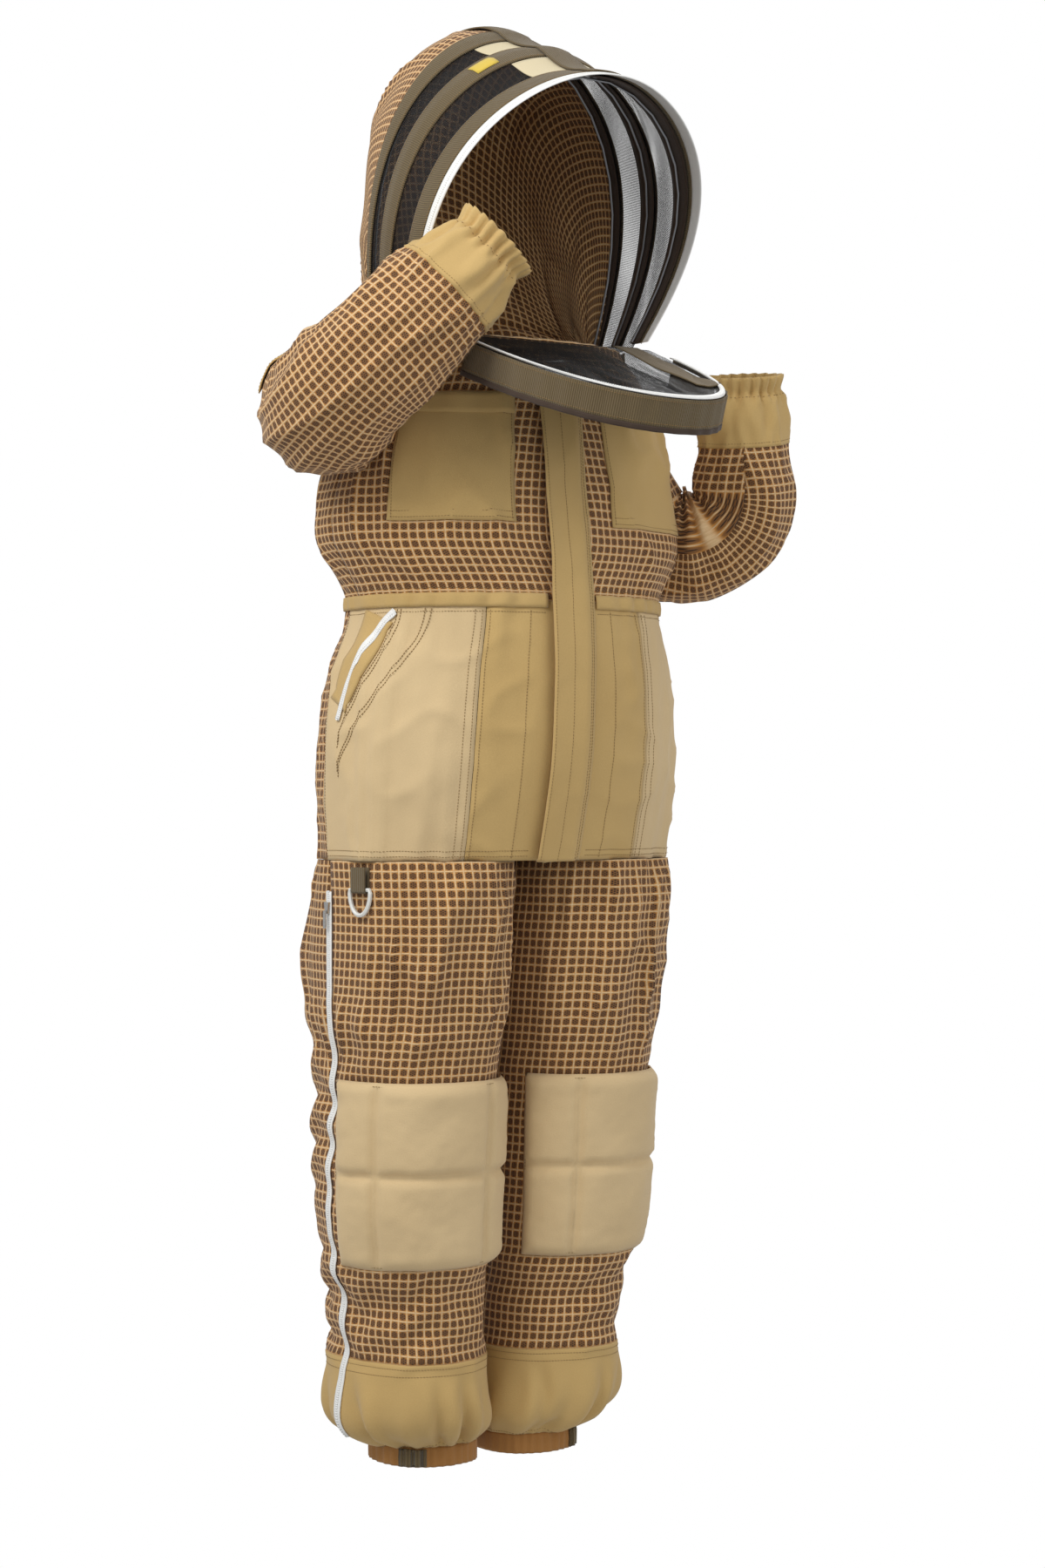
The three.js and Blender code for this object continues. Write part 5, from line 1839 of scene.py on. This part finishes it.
@dataclass
class HardTrim:
    """D-ring, its webbing loop, sliders and hoop wires.

    Attributes:
        ring: middle of the ring's straight bar.
        facing: direction that the ring faces.
        bar: thickness of the ring's bar.
        loop: width of the webbing.
    """

    ring: Point = (-0.20556, -0.03333, 0.658)
    facing: Tuple[float, float] = (-0.9655, -0.2606)
    bar: float = 0.005
    loop: float = 0.022

    def build(self) -> None:
        """Gives the D-ring and the metal their finishes, and builds the ring's webbing loop and the zip pulls."""
        turn = math.atan2(self.facing[0], -self.facing[1])
        for slot, nodes in HARD_NODES.items():
            for node in nodes:
                for holder in bpy.data.objects[node].material_slots:
                    holder.material = FINISHES[slot]
        self.band(turn)
        self.pulls()
        LOG.info("hard trim done")

    def band(self, turn: float) -> None:
        """Builds the folded webbing loop.

        Args:
            turn: turn about the upright that faces it outwards.
        """
        eye, thick, top = self.bar / 2 + 0.0005, 0.0016, 0.025
        profile = [(-eye - thick / 2, z) for z in np.linspace(top, 0, 7)]
        round_eye = eye + thick / 2
        profile += [(-round_eye * math.cos(a), -round_eye * math.sin(a)) for a in np.linspace(0.2, math.pi - 0.2, 9)]
        profile += [(eye + thick / 2, z) for z in np.linspace(0, top, 7)]
        route = np.array(profile)

        def base(x: Array, t: Array) -> Array:
            """The band at x across it and share t along its route."""
            place = np.clip(t, 0, 1) * (len(route) - 1)
            out = np.interp(place, np.arange(len(route)), route[:, 0])
            up = np.interp(place, np.arange(len(route)), route[:, 1])
            c, s = math.cos(turn), math.sin(turn)
            px = x * c + out * s
            py = x * s - out * c
            return join(self.ring[0] + px, self.ring[1] + py, self.ring[2] + up + 0 * x)

        skin = Skin(base, lambda x, t: 0 * x + 0 * t, 0.001, 0.01)
        sew(
            cloth(
                "webbing_loop_band", skin, (-self.loop / 2, self.loop / 2), (0.0, 1.0), FLUSH, 0.0012,
                0.0022,
            ),
            "webbing", ["webbing_loop"],
        )

    def pulls(self) -> None:
        """Adds a pull tab to each leg zip's slider."""
        for side in Side:
            surface = LegSurface(side)
            point = surface.base(np.array([side.value * 90.0]), np.array([0.628]))[0]
            deselect()
            bpy.ops.mesh.primitive_cube_add(size=1, location=(0, 0, 0))
            tab = bpy.context.object
            tab.name = f"leg_zip_pull_{side.label}"
            bpy.ops.object.mode_set(mode="EDIT")
            bpy.ops.mesh.select_all(action="SELECT")
            bpy.ops.transform.resize(value=(0.0014, 0.0052, 0.020))
            bpy.ops.mesh.bevel(offset=0.0005, segments=2, affect="EDGES")
            where = (point[0] + side.value * 0.0078, point[1], 0.6235)
            bpy.ops.transform.translate(value=where)
            bpy.ops.object.mode_set(mode="OBJECT")
            bpy.ops.object.shade_smooth_by_angle()
            dress(tab, f"leg_zip_slider_{side.label}", "zip_metal")


# ---- studio ------------------------------------------------------------------------------------------------


@dataclass
class Studio:
    """Soft lights, white paper and the camera.

    Attributes:
        azimuth: of the camera about the suit, in degrees from the front.
        distance: of the camera.
        height: of the camera.
        shift: how far to the camera's right it looks past the middle.
        ambient: strength of the light from all round.
    """

    azimuth: float = -33.0
    distance: float = 3.5
    height: float = 0.775
    shift: float = 0.025
    ambient: float = 0.50

    def build(self) -> None:
        """Builds the studio."""
        a = math.radians(self.azimuth)
        right = np.array([math.cos(a), math.sin(a), 0])
        back = np.array([math.sin(a), -math.cos(a), 0])
        bpy.context.scene.view_settings.view_transform = "Standard"
        lights = [
            self.light("key", (right * -1.6 + back * 1.9), 2.9, 1.7, 66.0),
            self.light("fill", (right * 2.3 + back * 1.6), 1.9, 2.2, 20.0),
            self.light("rim", (right * 0.8 - back * 2.2), 2.8, 1.6, 26.0),
        ]
        world = bpy.data.worlds.new("Studio")
        bpy.context.scene.world = world
        self.paper(world)
        camera_data = bpy.data.cameras.new("camera")
        camera = bpy.data.objects.new("camera", camera_data)
        bpy.context.scene.collection.objects.link(camera)
        place = right * self.shift + back * self.distance + np.array([0, 0, self.height])
        camera.location = place.tolist()
        camera.rotation_euler = (math.pi / 2, 0, a)
        camera_data.sensor_width = 36
        camera_data.lens = 70
        bpy.context.scene.camera = camera

    def paper(self, world: bpy.types.World) -> None:
        """Lights the scene softly from all round, before white paper.

        Args:
            world: the world to set up.
        """
        world.use_nodes = True
        tree = world.node_tree
        soft = tree.nodes["Background"]
        soft.inputs[0].default_value = (1, 1, 1, 1)
        soft.inputs[1].default_value = self.ambient
        white = tree.nodes.new("ShaderNodeBackground")
        white.inputs[0].default_value = (1, 1, 1, 1)
        white.inputs[1].default_value = 1.0
        path = tree.nodes.new("ShaderNodeLightPath")
        mix = tree.nodes.new("ShaderNodeMixShader")
        tree.links.new(path.outputs["Is Camera Ray"], mix.inputs[0])
        tree.links.new(soft.outputs[0], mix.inputs[1])
        tree.links.new(white.outputs[0], mix.inputs[2])
        tree.links.new(mix.outputs[0], tree.nodes["World Output"].inputs[0])

    def light(self, name: str, flat: Array, height: float, size: float, power: float) -> bpy.types.Object:
        """A soft square light aimed at the chest.

        Args:
            name: its name.
            flat: its place over the floor.
            height: its height.
            size: its side.
            power: in watts.

        Returns:
            the light.
        """
        data = bpy.data.lights.new(name, "AREA")
        data.size = size
        data.energy = power
        obj = bpy.data.objects.new(name, data)
        bpy.context.scene.collection.objects.link(obj)
        obj.location = (flat[0], flat[1], height)
        aim = np.array([0, 0, 0.9]) - np.array([flat[0], flat[1], height])
        yaw = math.atan2(aim[1], aim[0]) - math.pi / 2
        tilt = math.atan2(math.hypot(aim[0], aim[1]), -aim[2])
        obj.rotation_euler = (tilt, 0, yaw)
        return obj


def main() -> None:
    """Builds the whole suit and its studio."""
    logging.basicConfig(level=logging.INFO, format="%(message)s")
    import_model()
    for name, plan in FINISH_PLAN.items():
        FINISHES[name] = plan.build(name)
    sizes = TorsoSizes()
    TorsoPieces(sizes).build()
    Closure(sizes).build()
    HipTrim().build()
    for side in Side:
        SleevePieces(side).build()
        LegPieces(side).build()
    HoodPieces().build()
    VeilPieces().build()
    HardTrim().build()
    Studio().build()


if __name__ == "__main__":
    main()
